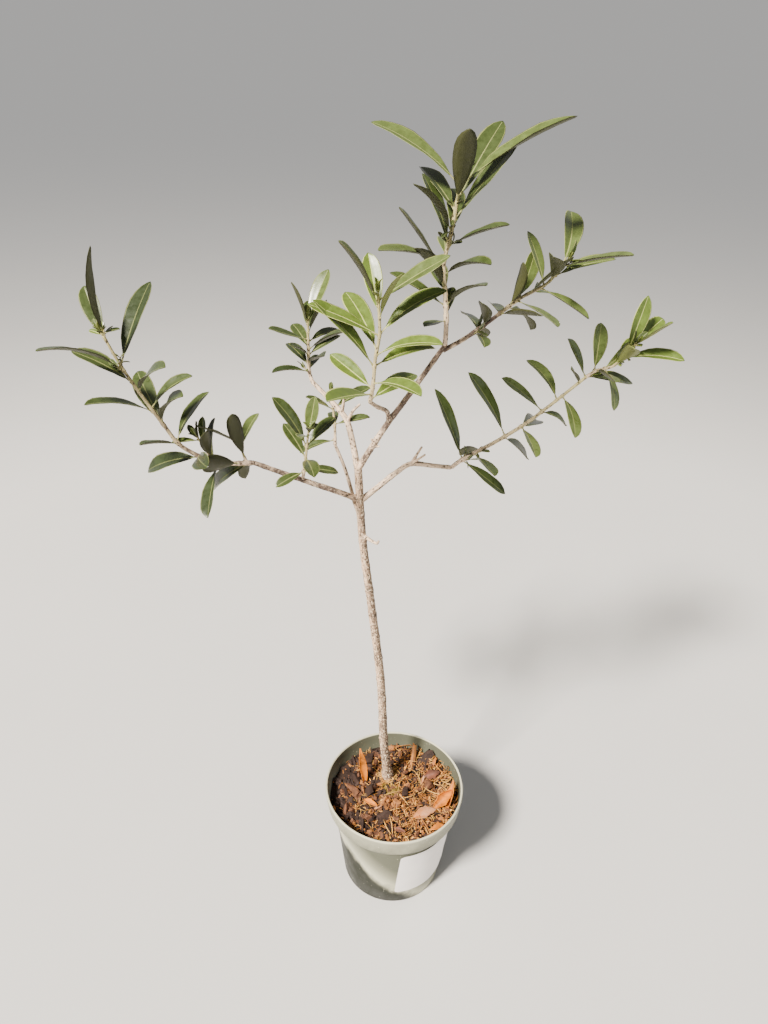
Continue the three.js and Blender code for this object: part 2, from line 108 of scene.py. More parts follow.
# The compost's level in the pot, and where the trunk's foot stands on it
COMPOST_LEVEL = 83.0
ROOT_OF_TRUNK = (-5.0, 17.0, 83.3)

# The trunk and boughs, each by the few places its line passes through and its radius at both ends.
# Youth runs from 0 for old bark to 1 for a green stem, at both ends, and weather is how patchy it is.
LIMBS = {
    "trunk": {
        "line": [ROOT_OF_TRUNK, (-9.3, 16, 128), (-13, 14.5, 193), (-21.4, 12.5, 268), (-27.3, 10.5, 320),
                 (-30.4, 8.5, 374)],
        "foot": 3.5, "tip": 2.5, "flare": 1.5, "youth": (0.0, 0.22), "weather": 0.55,
    },
    "bough_right": {
        "line": [(-30.4, 8.5, 372), (-21.8, 4, 389.5), (-12, -0.5, 408.5), (-2.5, -3, 424), (18, -2, 456)],
        "foot": 2.1, "tip": 1.4, "youth": (0.25, 0.5), "weather": 1.2,
    },
    "bough_upper_left": {
        "line": [(-30.4, 8.5, 371), (-34.4, 15, 388.6), (-38.6, 21, 400.5), (-48, 31, 407), (-61, 42, 416)],
        "foot": 2.2, "tip": 1.35, "youth": (0.3, 0.45), "weather": 0.1,
    },
    "bough_left": {
        "line": [(-29.5, 9.5, 349.5), (-44.7, 6, 357.4), (-58, 1, 365), (-78.7, -6, 376.8), (-91, -12, 385)],
        "foot": 2.0, "tip": 1.45, "youth": (0.2, 0.5), "weather": 1.9,
    },
    "bough_middle_left": {
        "line": [(-28.6, 10, 336), (-33.1, 14, 345.7), (-34.9, 16, 352.7), (-39.9, 21.5, 367.1),
                 (-46, 28, 379)],
        "foot": 1.4, "tip": 1.05, "youth": (0.3, 0.45), "weather": 0.3,
    },
    "bough_lower_right": {
        "line": [(-29.3, 9.6, 348), (-17.4, 14, 356.8), (-7, 19, 364), (3, 24, 368.5), (17.6, 29, 365),
                 (30, 33, 362)],
        "foot": 2.05, "tip": 1.45, "youth": (0.3, 0.4), "weather": 0.15,
    },
    "bough_centre": {
        "line": [(-12, -0.5, 408.5), (-13.2, -8, 418), (-18.8, -20, 426), (-22.6, -28, 432)],
        "foot": 1.45, "tip": 1.15, "youth": (0.15, 0.4), "weather": 1.1,
    },
}

# How far up the root flare reaches, and how far apart and how long the swellings at leaf scars are
FLARE_REACH = 9.0
SCAR_STEP = 21.0
SCAR_HALF_LENGTH = 1.6

# Short dead stubs left where a twig died back
STUBS = [
    {"line": [(-27.3, 10.5, 322), (-18.5, 2, 321.5), (-16.5, -2, 325.5)], "foot": 1.25, "tip": 0.9},
    {"line": [(-41, 24, 403), (-38.8, 24.4, 419)], "foot": 1.1, "tip": 0.7},
    {"line": [(-37, 20, 400), (-34, 20, 406), (-29.7, 22, 409.8)], "foot": 1.1, "tip": 0.8},
    {"line": [(3, 24, 368.5), (9.7, 26, 380)], "foot": 1.1, "tip": 0.75},
    {"line": [(3, 24, 368.5), (12, 22, 376.5)], "foot": 0.95, "tip": 0.7},
    {"line": [(-20.5, 3.5, 391.5), (-22.3, 1, 396.5)], "foot": 0.9, "tip": 0.5},
    {"line": [(-22, 4, 389.5), (-17, 2, 391)], "foot": 0.9, "tip": 0.5},
]
STUB_BARK = {"youth": (0.3, 0.3), "weather": 0.3}

# Painted shade makes the bark dark on the side that faces this way, pale on the other, and less so on boughs
SHADED_SIDE = np.array([0.95, 0.1, -0.2]) / np.linalg.norm([0.95, 0.1, -0.2])
PAINTED_SHADE_ON_BOUGHS = 0.35

# The leafy shoots of each mass, by the same rule as the part's solids: leaves stand in opposite
# pairs, each pair a quarter turn on from the last, from `bare` millimetres up to near the tip.
# phase: the first pair's turn round the shoot, in degrees
# lean, length: the leaves' angle to the shoot and their length, at its foot and at its tip
# curl: how far a leaf bends back from the shoot between its foot and its point, in degrees
# seed: which run of strays its leaves take
# sun: how far the leaves' upper sides turn to the light
# youth: the share of young leaves
# paler: how much paler the older leaves are than elsewhere
# weather: how patchy the bark is at the shoot's foot
MASSES = {
    "leaves_leader": [
        {"line": [(18, -2, 456), (18, -2, 467), (17, 0, 481), (15, 2, 499), (18, 2, 515), (21, 2, 542)],
         "foot": 1.45, "tip": 0.75, "bare": 15, "phase": 160, "lean": (60, 42), "length": (26, 50),
         "curl": 20, "pairs": 10, "seed": 125, "sun": 0.4, "paler": 0.15},
    ],
    "leaves_upper_right": [
        {"line": [(17, -2.2, 453), (29, -1, 460), (43, 4, 469), (59, 10, 480), (73, 14, 487), (82, 16, 498)],
         "foot": 1.4, "tip": 0.7, "bare": 21, "phase": 30, "lean": (75, 35), "length": (30, 37),
         "curl": 20, "pairs": 9, "seed": 104, "sun": 1.3, "paler": 0.4, "weather": 2.2},
    ],
    "leaves_lower_right": [
        {"line": [(30, 33, 362), (37, 35, 367), (59, 41, 378), (77, 45, 389), (91, 48, 400), (114, 52, 420)],
         "foot": 1.45, "tip": 0.95, "bare": 5, "phase": 100, "lean": (85, 65), "length": (44, 30),
         "curl": 20, "pairs": 7, "seed": 101, "sun": 1.3, "paler": 0.4},
        {"line": [(112, 52, 418), (119, 52, 424), (129, 52, 427), (136, 51, 435), (139, 50, 441)],
         "foot": 0.95, "tip": 0.6, "bare": 3, "phase": 80, "lean": (60, 40), "length": (32, 36),
         "curl": 20, "pairs": 6, "seed": 11, "sun": 1.5, "youth": 0.45, "paler": 0.4},
    ],
    "leaves_centre": [
        {"line": [(-22.6, -28, 432), (-21, -32, 443), (-20, -33, 458), (-18, -34, 472), (-19, -36, 491)],
         "foot": 1.15, "tip": 0.65, "bare": 3, "phase": 130, "lean": (70, 35), "length": (42, 45),
         "curl": 20, "pairs": 7, "seed": 114, "sun": 0.9, "youth": 0.9},
    ],
    "leaves_upper_left": [
        {"line": [(-61, 42, 416), (-63, 44, 423), (-63, 45, 435), (-63, 46, 453)],
         "foot": 1.2, "tip": 0.65, "bare": 6, "phase": 130, "lean": (75, 45), "length": (26, 29),
         "curl": 15, "pairs": 7, "seed": 106, "sun": 0.9},
    ],
    "leaves_middle_left": [
        {"line": [(-46, 28, 379), (-46, 30, 388), (-47, 31, 402), (-48, 31, 411)],
         "foot": 1.0, "tip": 0.6, "bare": 2, "phase": 110, "lean": (80, 30), "length": (22, 27),
         "curl": 15, "pairs": 4, "seed": 5, "sun": 0.9},
    ],
    "leaves_front_left": [
        {"line": [(-64, -1.2, 368), (-61, -5, 387), (-60, -6, 395), (-59, -7, 403)],
         "foot": 1.1, "tip": 0.6, "bare": 7, "phase": 110, "lean": (70, 35), "length": (20, 36),
         "curl": 10, "pairs": 4, "seed": 7, "sun": 0.9},
    ],
    "leaves_left": [
        {"line": [(-91, -12, 385), (-111, -18, 388), (-129, -22, 399), (-138, -24, 414), (-153, -28, 445),
                  (-161, -30, 466)],
         "foot": 1.45, "tip": 0.7, "bare": 6, "phase": 40, "lean": (60, 35), "length": (33, 44),
         "curl": 30, "pairs": 9, "seed": 113, "sun": 0.7, "paler": -0.12, "weather": 1.5},
        {"line": [(-112, -18, 388), (-117, -16, 393), (-121, -16, 401)],
         "foot": 0.85, "tip": 0.55, "bare": 2.5, "phase": 20, "lean": (75, 40), "length": (28, 14),
         "curl": 10, "pairs": 2, "seed": 11, "sun": 0.9},
        {"line": [(-95, -13, 385.5), (-98, -8, 389), (-100, -5, 394)],
         "foot": 0.85, "tip": 0.55, "bare": 5, "phase": 40, "lean": (60, 50), "length": (30, 24),
         "curl": 20, "pairs": 2, "seed": 10, "sun": 0.9},
    ],
}

# How far one leaf may differ from its pair's rule, in degrees and in shares of its size or spacing
SPREAD = {"turn": 40, "lean": 25, "length": 0.3, "curl": 20, "slip": 0.3}
QUARTER_TURN = 90

# A leaf that would meet a neighbour is tried again: its share of length and its turn in degrees
LEAF_TRIES = [(1.0, 0), (0.85, 0), (1.0, 35), (1.0, -35), (0.8, 70), (0.8, -70), (0.65, 0)]

# Where along its shoot the last pair stands, how many strays each leaf takes, and the way to the light
LAST_PAIR_AT = 0.96
STRAYS_PER_LEAF = 5
LEAF_LIGHT = np.array([-0.1, -0.55, 0.83]) / np.linalg.norm([-0.1, -0.55, 0.83])

# The leaf's outline: where along it the blade has which share of its full width
LEAF_OUTLINE = [
    (0.12, 0.1), (0.16, 0.24), (0.22, 0.41), (0.3, 0.61), (0.4, 0.8), (0.52, 0.95),
    (0.63, 1.0), (0.74, 0.97), (0.84, 0.83), (0.92, 0.57), (0.975, 0.22),
]

# Where the rings of a leaf's stalk stand along it, and half the stalk's width in millimetres
PETIOLE_STATIONS = (0.0, 0.06)
PETIOLE_HALF_WIDTH = 0.55

# A leaf's full width is this share of its length, less so much for each millimetre of that length
LEAF_WIDTH_SHARE = 0.4
LEAF_SLIMMING = 0.003

# Where round a leaf the points of one ring stand, in half widths: over the left and the right of its
# upper side, with the midrib's two edges between them, and back across its lower side
UPPER_LEFT = (-1.0, -0.9, -0.5)
UPPER_RIGHT = (0.5, 0.9, 1.0)
LOWER_SIDE = (0.5, 0.0, -0.5)

# How many strips between those points are on the upper side, and which of them are pale: the two
# margins and the midrib
UPPER_STRIPS = 7
PALE_STRIPS = (0, 3, 6)

# The roughness and the coat of wax on the upper side of a grown leaf and of a young one
GROWN_GLOSS = (0.3, 0.5)
YOUNG_GLOSS = (0.4, 0.12)

# A leaf whose paleness is under the first of these is dark, and under the second mature
MATURE_FROM = 0.36
LIGHT_FROM = 0.88

# How near a leaf's midrib stays to its mass's own solid, and how far a sprig's leaf keeps off the limbs
HELD_WITHIN = 0.7
SPRIG_LEAF_GAP = 0.5

# How far from the pot's middle the chips, the small litter and the long straws are scattered
CHIP_REACH = 49
LITTER_REACH = 50
STRAW_REACH = 48

# Fibres beside the loose ones: long straws, pale ones round the trunk's foot, and the moss before it
LONG_STRAWS = 150
FOOT_FIBRES = 170
MOSS_FIBRES = 260

# What lights the stage, in metres: each light's place, the width of its disc and its colour
LIGHTS_AIM = (0.0, 0.0, 0.3)
KEY_LIGHT = {"place": (-6.8, -7.6, 11.6), "size": 2.7, "colour": (1.0, 0.93, 0.83)}
FILL_LIGHT = {"place": (1.3, -0.7, 0.9), "size": 1.2, "colour": (0.9, 0.95, 1.0)}


# Settings that a user may change


def colour_setting(name, description, default):
    return bpy.props.FloatVectorProperty(
        name=name, description=description, subtype="COLOR", size=3, min=0.0, max=1.0, default=default)


class PotSettings(bpy.types.PropertyGroup):
    sides: bpy.props.IntProperty(
        name="Sides", description="Flat sides that make up the pot's round", default=120, min=24, max=240)
    wobble: bpy.props.FloatProperty(
        name="Wobble", description="How far the thin wall strays from a true round", default=0.35 * MM,
        min=0.0, unit="LENGTH")
    plastic: colour_setting("Plastic", "Colour of the moulded plastic", (0.06, 0.066, 0.043))
    # This colour, lightened, also paints the pot's painted light, as well as its real specks and smudges
    dust_and_painted_light: colour_setting("Dust", "Colour of the dust and lime on the plastic", (0.47, 0.455, 0.335))
    paper: colour_setting("Label paper", "Colour of the blank label", (0.92, 0.87, 0.84))
    paper_thickness: bpy.props.FloatProperty(
        name="Label thickness", description="Thickness of the label's paper", default=0.16 * MM,
        min=0.05 * MM, unit="LENGTH")


class BarkSettings(bpy.types.PropertyGroup):
    grain: bpy.props.FloatProperty(
        name="Grain", description="Edge length of the limb mesh", default=0.42 * MM,
        min=0.2 * MM, unit="LENGTH")
    relief: bpy.props.FloatProperty(
        name="Relief", description="How far the old bark's lumps stand out", default=0.75 * MM,
        min=0.0, unit="LENGTH")
    old: colour_setting("Old bark", "Colour of the trunk's bark", (0.74, 0.49, 0.31))
    pale: colour_setting("Pale bark", "Colour of the boughs' smooth bark", (0.88, 0.66, 0.46))
    grey: colour_setting("Grey bark", "Colour of the weathered patches", (0.13, 0.088, 0.066))
    young: colour_setting("Young stem", "Colour of this year's stems", (0.46, 0.4, 0.17))


class LeafSettings(bpy.types.PropertyGroup):
    thickness: bpy.props.FloatProperty(
        name="Thickness", description="Thickness of a leaf at its midrib", default=0.5 * MM,
        min=0.1 * MM, unit="LENGTH")
    fold: bpy.props.FloatProperty(
        name="Fold", description="Rise of the blade's edge for its half width", default=0.4, min=0.0, max=1.0)
    dark: colour_setting("Dark leaf", "Colour of the oldest leaves", (0.024, 0.037, 0.01))
    mature: colour_setting("Mature leaf", "Colour of most leaves", (0.045, 0.065, 0.016))
    light: colour_setting("Light leaf", "Colour of the leaves near a tip", (0.085, 0.117, 0.028))
    young: colour_setting("Young leaf", "Colour of this year's leaves", (0.1, 0.15, 0.022))
    underside: colour_setting("Underside", "Colour of a mature leaf beneath", (0.037, 0.04, 0.009))
    young_underside: colour_setting(
        "Young underside", "Colour of a young leaf beneath", (0.16, 0.18, 0.045))
    midrib: colour_setting("Midrib", "Colour of a mature leaf's midrib", (0.19, 0.21, 0.07))
    young_midrib: colour_setting("Young midrib", "Colour of a young leaf's midrib", (0.42, 0.46, 0.15))
    petiole: colour_setting("Leaf stalk", "Colour of the leaf stalks and buds", (0.3, 0.29, 0.12))


class CompostSettings(bpy.types.PropertyGroup):
    chips: bpy.props.IntProperty(
        name="Bark chips", description="Chips of bark on the compost", default=560, min=0)
    fibres: bpy.props.IntProperty(
        name="Fibres", description="Loose fibres on the compost", default=1700, min=0)
    flakes: bpy.props.IntProperty(
        name="Flakes", description="Small flakes of dry bark and straw", default=900, min=0)
    soil: colour_setting("Soil", "Colour of the moist compost", (0.022, 0.012, 0.008))
    dark_bark: colour_setting("Dark bark", "Colour of the moist bark chips", (0.042, 0.022, 0.016))
    brown_bark: colour_setting("Brown bark", "Colour of the dry bark chips", (0.16, 0.066, 0.032))
    tan_fibre: colour_setting("Tan fibre", "Colour of the dry fibres", (0.5, 0.19, 0.036))
    straw: colour_setting("Straw", "Colour of the palest fibres", (0.72, 0.38, 0.1))
    dry_leaf: colour_setting("Dry leaf", "Colour of the fallen leaves", (0.66, 0.2, 0.014))
    moss: colour_setting("Moss", "Colour of the moss by the trunk", (0.31, 0.2, 0.03))


class StageSettings(bpy.types.PropertyGroup):
    floor: colour_setting("Floor", "Colour of the floor", (0.62, 0.61, 0.595))
    key_power: bpy.props.FloatProperty(
        name="Key light", description="Power of the main light in watts", default=9200.0, min=0.0)
    fill_power: bpy.props.FloatProperty(
        name="Fill light", description="Power of the soft light from the right in watts",
        default=3.5, min=0.0)
    sky: bpy.props.FloatProperty(
        name="Sky", description="Strength of the even light from above", default=0.22, min=0.0)
    horizon: bpy.props.FloatProperty(
        name="Horizon", description="Strength of the even light from all round and of the far floor",
        default=0.45, min=0.0)


class OliveTreeSettings(bpy.types.PropertyGroup):
    pot: bpy.props.PointerProperty(type=PotSettings, name="Pot", description="The pot and its label")
    bark: bpy.props.PointerProperty(type=BarkSettings, name="Bark", description="The trunk and boughs")
    leaf: bpy.props.PointerProperty(type=LeafSettings, name="Leaves", description="The leaves")
    compost: bpy.props.PointerProperty(type=CompostSettings, name="Compost", description="The compost")
    stage: bpy.props.PointerProperty(type=StageSettings, name="Stage", description="Floor, lights and camera")


# Numbers, lines and meshes


def mix(a, b, share):
    return a + (b - a) * share


def unit(vector):
    return vector / np.linalg.norm(vector)


def smooth_step(value, low, high):
    share = min(max((value - low) / (high - low), 0.0), 1.0)
    return share * share * (3 - 2 * share)


def stray_numbers(seed, count):
    """A run of numbers from -1 to 1 that is always the same for one seed."""
    modulus = 2147483647
    state = (seed * 7919) % modulus
    numbers = []
    for i in range(3 + count):
        state = (state * 16807) % modulus
        if i >= 3:
            numbers.append(state / modulus * 2 - 1)
    return numbers


class Line:
    """A smooth line through a few places, read by the share of its length."""

    STEPS = 200

    def __init__(self, places):
        inner = np.array(places, float)
        before = inner[0] * 2 - inner[1]
        after = inner[-1] * 2 - inner[-2]
        self.places = np.vstack([before, inner, after])
        self.spans = len(inner) - 1
        samples = np.array([self.at(i / self.STEPS) for i in range(self.STEPS + 1)])
        self.run = np.concatenate([[0.0], np.cumsum(np.linalg.norm(np.diff(samples, axis=0), axis=1))])
        self.length = self.run[-1]

    def at(self, share):
        reach = share * self.spans
        span = min(int(reach), self.spans - 1)
        t = reach - span
        a, b, c, d = self.places[span:span + 4]
        return 0.5 * (2 * b + (c - a) * t + (2 * a - 5 * b + 4 * c - d) * t ** 2
                      + (3 * b - a - 3 * c + d) * t ** 3)

    def to_share(self, of_length):
        return np.interp(of_length * self.length, self.run, np.linspace(0, 1, self.STEPS + 1))

    def place(self, of_length):
        return self.at(self.to_share(of_length))

    def direction(self, of_length):
        share = self.to_share(of_length)
        step = 1e-4
        return unit(self.at(min(share + step, 1.0)) - self.at(max(share - step, 0.0)))


def square_to(direction):
    """Two directions square to a line's own direction."""
    forward = np.array([0.0, 1.0, 0.0])
    across = unit(forward - forward.dot(direction) * direction)
    return across, np.cross(direction, across)


class MeshPile:
    """Small closed shapes gathered into one joined mesh, in millimetres."""

    def __init__(self, materials):
        self.materials = materials
        self.places = []
        self.faces = []
        self.slots = []
        self.marks = {}

    def add(self, places, faces, slots, **marks):
        """Adds a shape with its faces' material slots and what its points are marked with."""
        first = len(self.places)
        self.places.extend(places)
        self.faces.extend([tuple(first + i for i in face) for face in faces])
        self.slots.extend([slots] * len(faces) if isinstance(slots, int) else slots)
        for name, values in marks.items():
            self.marks.setdefault(name, []).extend(values)

    def piece(self, name):
        """Makes the gathered shapes one object."""
        mesh = bpy.data.meshes.new(name)
        mesh.from_pydata((np.array(self.places) * MM).tolist(), [], self.faces)
        mesh.polygons.foreach_set("material_index", self.slots)
        for mark, values in self.marks.items():
            give_mark(mesh, mark, values)
        for material in self.materials:
            mesh.materials.append(material)
        mesh.polygons.foreach_set("use_smooth", [True] * len(mesh.polygons))
        mesh.update()
        piece = bpy.data.objects.new(name, mesh)
        bpy.context.scene.collection.objects.link(piece)
        return piece


def give_mark(mesh, name, values):
    """Marks each point of a mesh with a number or a vector that its material reads."""
    values = np.array(values, np.float32)
    kind, field = ("FLOAT", "value") if values.ndim == 1 else ("FLOAT_VECTOR", "vector")
    mesh.attributes.new(name, kind, "POINT").data.foreach_set(field, values.ravel())


def ring_points(middle, direction, radius, sides):
    """The points of one ring round a line."""
    across, over = square_to(direction)
    points = []
    for k in range(sides):
        angle = math.tau * k / sides
        points.append(middle + radius * (math.cos(angle) * across + math.sin(angle) * over))
    return points


def ring_faces(rings, sides):
    """The faces between each ring of points and the next."""
    faces = []
    for i in range(rings - 1):
        for k in range(sides):
            a, b = i * sides + k, i * sides + (k + 1) % sides
            faces.append((a, b, b + sides, a + sides))
    return faces


def tip_faces(rings, sides):
    """The faces between the last ring of points and the one point that follows it."""
    last = (rings - 1) * sides
    return [(last + k, last + (k + 1) % sides, rings * sides) for k in range(sides)]


def tube_shape(places, radii, sides):
    """Vertices and faces of a closed round tube along a row of places."""
    count = len(places)
    verts = []
    for i in range(count):
        ahead = places[min(i + 1, count - 1)] - places[max(i - 1, 0)]
        verts += ring_points(places[i], unit(ahead), radii[i], sides)
    faces = ring_faces(count, sides)
    faces.append(tuple(range(sides))[::-1])
    faces.append(tuple((count - 1) * sides + k for k in range(sides)))
    return verts, faces


def faced_out(places, faces):
    """A closed shape's faces, turned over if the sign of its volume shows that they point inwards."""
    volume = 0.0
    for face in faces:
        a = places[face[0]]
        for b, c in zip(face[1:-1], face[2:]):
            volume += a.dot(np.cross(places[b], places[c]))
    return [face[::-1] for face in faces] if volume < 0 else faces


def deselect_all():
    if bpy.context.object and bpy.context.object.mode != "OBJECT":
        bpy.ops.object.mode_set(mode="OBJECT")
    bpy.ops.object.select_all(action="DESELECT")


def only(piece):
    """Makes one object the selected and active one."""
    deselect_all()
    piece.select_set(True)
    bpy.context.view_layer.objects.active = piece


def rename(piece, name):
    piece.name = name
    piece.data.name = name


def apply_modifier(piece, kind, name, **values):
    only(piece)
    modifier = piece.modifiers.new(name, kind)
    for key, value in values.items():
        setattr(modifier, key, value)
    bpy.ops.object.modifier_apply(modifier=modifier.name)


def join_pieces(pieces, name):
    deselect_all()
    for piece in pieces:
        piece.select_set(True)
    bpy.context.view_layer.objects.active = pieces[0]
    bpy.ops.object.join()
    joined = bpy.context.object
    rename(joined, name)
    return joined


def settle(piece, slot, *nodes):
    """Fixes a finished piece to the part's one body, with the solids it stands for."""
    only(piece)
    bpy.ops.object.transform_apply(location=True, rotation=True, scale=True)
    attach(piece, "root")
    if nodes:
        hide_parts(*nodes)
    deselect_all()


# Materials


class Finish:
    """A material under construction, from its surface shader back to its patterns."""

    def __init__(self, name, **sockets):
        self.material = bpy.data.materials.new(name)
        self.material.use_nodes = True
        self.tree = self.material.node_tree
        self.surface = self.tree.nodes["Principled BSDF"]
        for socket, value in sockets.items():
            self.surface.inputs[socket.replace("_", " ")].default_value = value

    def node(self, kind, inputs=None, **values):
        node = self.tree.nodes.new(kind)
        for key, value in values.items():
            setattr(node, key, value)
        for key, value in (inputs or {}).items():
            if isinstance(value, bpy.types.NodeSocket):
                self.tree.links.new(value, node.inputs[key])
            else:
                node.inputs[key].default_value = value
        return node

    def place(self):
        return self.node("ShaderNodeTexCoord").outputs["Object"]

    def mark(self, name, output="Fac"):
        return self.node("ShaderNodeAttribute", attribute_name=name).outputs[output]

    def scaled(self, vector, scale):
        return self.node("ShaderNodeMapping", {"Vector": vector, "Scale": scale}).outputs["Vector"]

    def grain(self, vector, scale, detail=4.0, roughness=0.55, distortion=0.0):
        node = self.node("ShaderNodeTexNoise", {
            "Vector": vector, "Scale": scale, "Detail": detail, "Roughness": roughness,
            "Distortion": distortion})
        return node.outputs["Fac"]

    def cells(self, vector, scale):
        return self.node("ShaderNodeTexVoronoi", {"Vector": vector, "Scale": scale}).outputs["Distance"]

    def ramp(self, factor, stops):
        """A colour or grey read from the factor. Each stop is a place and a grey or a colour."""
        node = self.node("ShaderNodeValToRGB", {"Fac": factor})
        ramp = node.color_ramp
        while len(ramp.elements) < len(stops):
            ramp.elements.new(0.5)
        for element, (place, value) in zip(ramp.elements, stops):
            element.position = place
            colour = (value, value, value) if isinstance(value, (int, float)) else tuple(value)
            element.color = (*colour[:3], 1.0)
        return node.outputs["Color"]

    def fade(self, value, low, high, most=1.0, **values):
        """A share that grows from none to the most as the value goes from low to high."""
        node = self.node("ShaderNodeMapRange", {
            "Value": value, "From Min": low, "From Max": high, "To Max": most}, **values)
        return node.outputs["Result"]

    def blend(self, factor, a, b):
        """One colour where the factor is 0 and another where it is 1."""
        node = self.node("ShaderNodeMix", data_type="RGBA", clamp_factor=True)
        for index, value in ((0, factor), (6, a), (7, b)):
            if isinstance(value, bpy.types.NodeSocket):
                self.tree.links.new(value, node.inputs[index])
            else:
                node.inputs[index].default_value = value if index == 0 else (*tuple(value)[:3], 1.0)
        return node.outputs[2]

    def reckon(self, a, b, operation):
        return self.node("ShaderNodeMath", {0: a, 1: b}, operation=operation).outputs[0]

    def sum(self, a, b):
        return self.reckon(a, b, "ADD")

    def times(self, a, b):
        return self.reckon(a, b, "MULTIPLY")

    def distance(self, vector):
        """How far a place is from the middle of the part's frame."""
        return self.node("ShaderNodeVectorMath", {0: vector}, operation="LENGTH").outputs["Value"]

    def colour(self, socket):
        self.tree.links.new(socket, self.surface.inputs["Base Color"])

    def gloss(self, socket):
        self.tree.links.new(socket, self.surface.inputs["Roughness"])

    def bump(self, height, strength, distance):
        node = self.node("ShaderNodeBump", {"Height": height, "Strength": strength, "Distance": distance})
        self.tree.links.new(node.outputs["Normal"], self.surface.inputs["Normal"])


def tint(colour, share):
    """A colour made lighter or darker by a share."""
    return tuple(min(channel * share, 1.0) for channel in tuple(colour)[:3])


# The painted shade over the pot's lower part ends along a slanting plane, higher on the pot's left
SHADE_SLANT = (0.9, 0.0, 1.0)

# How pale the pool of painted light is at these distances in metres above that plane
PAINTED_LIGHT_POOL = [(0.013, 0.0), (0.017, 0.95), (0.025, 0.8), (0.036, 0.35), (0.05, 0.08)]

# The middle of the pot's wall in its band, which parts the outside from the inside: its radius where
# it would meet the floor, and how it opens upwards
WALL_MIDDLE = 43.85
WALL_MIDDLE_SLOPE = 0.108


def pot_plastic(settings):
    finish = Finish("pot_plastic", Roughness=0.42, IOR=1.4, Specular_IOR_Level=0.2)
    place = finish.place()
    haze = finish.grain(finish.scaled(place, (26, 26, 18)), 1.0, 5.0, 0.6)
    base = finish.blend(finish.ramp(haze, [(0.4, 0.0), (0.75, 1.0)]),
                        tint(settings.plastic, 0.94), tint(settings.plastic, 1.12))
    rings = finish.grain(finish.scaled(place, (8, 8, 900)), 1.0, 3.0, 0.7)
    lined = finish.blend(finish.ramp(rings, [(0.3, 0.0), (0.8, 0.22)]), base, tint(settings.plastic, 1.25))
    specks = finish.grain(finish.scaled(place, (520, 520, 420)), 1.0, 2.0, 0.5)
    lime = finish.ramp(specks, [(0.7, 0.0), (0.76, 0.6)])
    height = finish.node("ShaderNodeSeparateXYZ", {"Vector": place}).outputs["Z"]
    out = finish.distance(finish.scaled(place, (1, 1, 0)))
    leaning = finish.reckon(out, finish.times(height, WALL_MIDDLE_SLOPE), "SUBTRACT")
    outside = finish.fade(leaning, (WALL_MIDDLE - 0.2) * MM, (WALL_MIDDLE + 0.2) * MM)
    smudge = finish.grain(finish.scaled(place, (60, 60, 38)), 1.0, 4.0, 0.65)
    dusted = finish.ramp(smudge, [(0.42, 0.0), (0.66, 0.5)])
    patch = finish.times(dusted, outside)
    # Painted shade: below an uneven slanting plane the plastic is darkened to about a third of its colour
    slanted = finish.node("ShaderNodeVectorMath", {0: place, 1: SHADE_SLANT},
                          operation="DOT_PRODUCT").outputs["Value"]
    shade_edge = finish.reckon(finish.times(haze, 0.05), slanted, "SUBTRACT")
    painted_low_shade = finish.ramp(shade_edge, [(0.0, 0.0), (0.01, 1.0)])
    # A pool of painted light, pale, just above the painted shade
    painted_light_pool = finish.ramp(slanted, PAINTED_LIGHT_POOL)
    dusted_and_lit = finish.blend(painted_light_pool, finish.blend(patch, lined, settings.dust_and_painted_light), tint(settings.dust_and_painted_light, 1.5))
    lit_and_shaded = finish.blend(painted_low_shade, dusted_and_lit, tint(settings.plastic, 0.32))
    # A lighter line along the rim's top: partly wear, partly painted highlight
    rim = finish.fade(height, (POT_HEIGHT - 1.3) * MM, (POT_HEIGHT - 0.5) * MM)
    # The band under the rim is made lighter than the body below
    band = finish.fade(height, (POT_SHOULDER_HEIGHT + 3) * MM, (POT_HEIGHT - 3) * MM, 0.6)
    band_lightened = finish.blend(finish.times(band, outside), lit_and_shaded, settings.dust_and_painted_light)
    worn = finish.blend(rim, band_lightened, tint(settings.dust_and_painted_light, 1.25))
    finish.colour(finish.blend(lime, worn, tint(settings.dust_and_painted_light, 1.5)))
    finish.gloss(finish.ramp(smudge, [(0.35, 0.34), (0.7, 0.58)]))
    waves = finish.grain(finish.scaled(place, (34, 34, 22)), 1.0, 2.0, 0.4)
    fine = finish.grain(finish.scaled(place, (700, 700, 1500)), 1.0, 3.0, 0.6)
    finish.bump(finish.sum(waves, finish.times(fine, 0.06)), 0.5, 1.1 * MM)
    return finish.material


def label_paper(settings):
    finish = Finish("label_paper", Roughness=0.62, Sheen_Weight=0.08)
    place = finish.place()
    mottle = finish.grain(finish.scaled(place, (55, 55, 55)), 1.0, 4.0, 0.6)
    paper = finish.blend(finish.ramp(mottle, [(0.35, 0.0), (0.7, 1.0)]),
                         tint(settings.paper, 0.95), tint(settings.paper, 1.03))
    scuffs = finish.grain(finish.scaled(place, (340, 340, 90)), 1.0, 4.0, 0.7)
    worn = finish.ramp(scuffs, [(0.66, 0.0), (0.78, 0.3)])
    finish.colour(finish.blend(worn, paper, (0.52, 0.49, 0.44)))
    fibres = finish.grain(finish.scaled(place, (2600, 2600, 2600)), 1.0, 2.0, 0.5)
    creases = finish.grain(finish.scaled(place, (70, 70, 45)), 1.0, 3.0, 0.5, 0.4)
    finish.bump(finish.sum(creases, finish.times(fibres, 0.08)), 0.45, 0.5 * MM)
    return finish.material


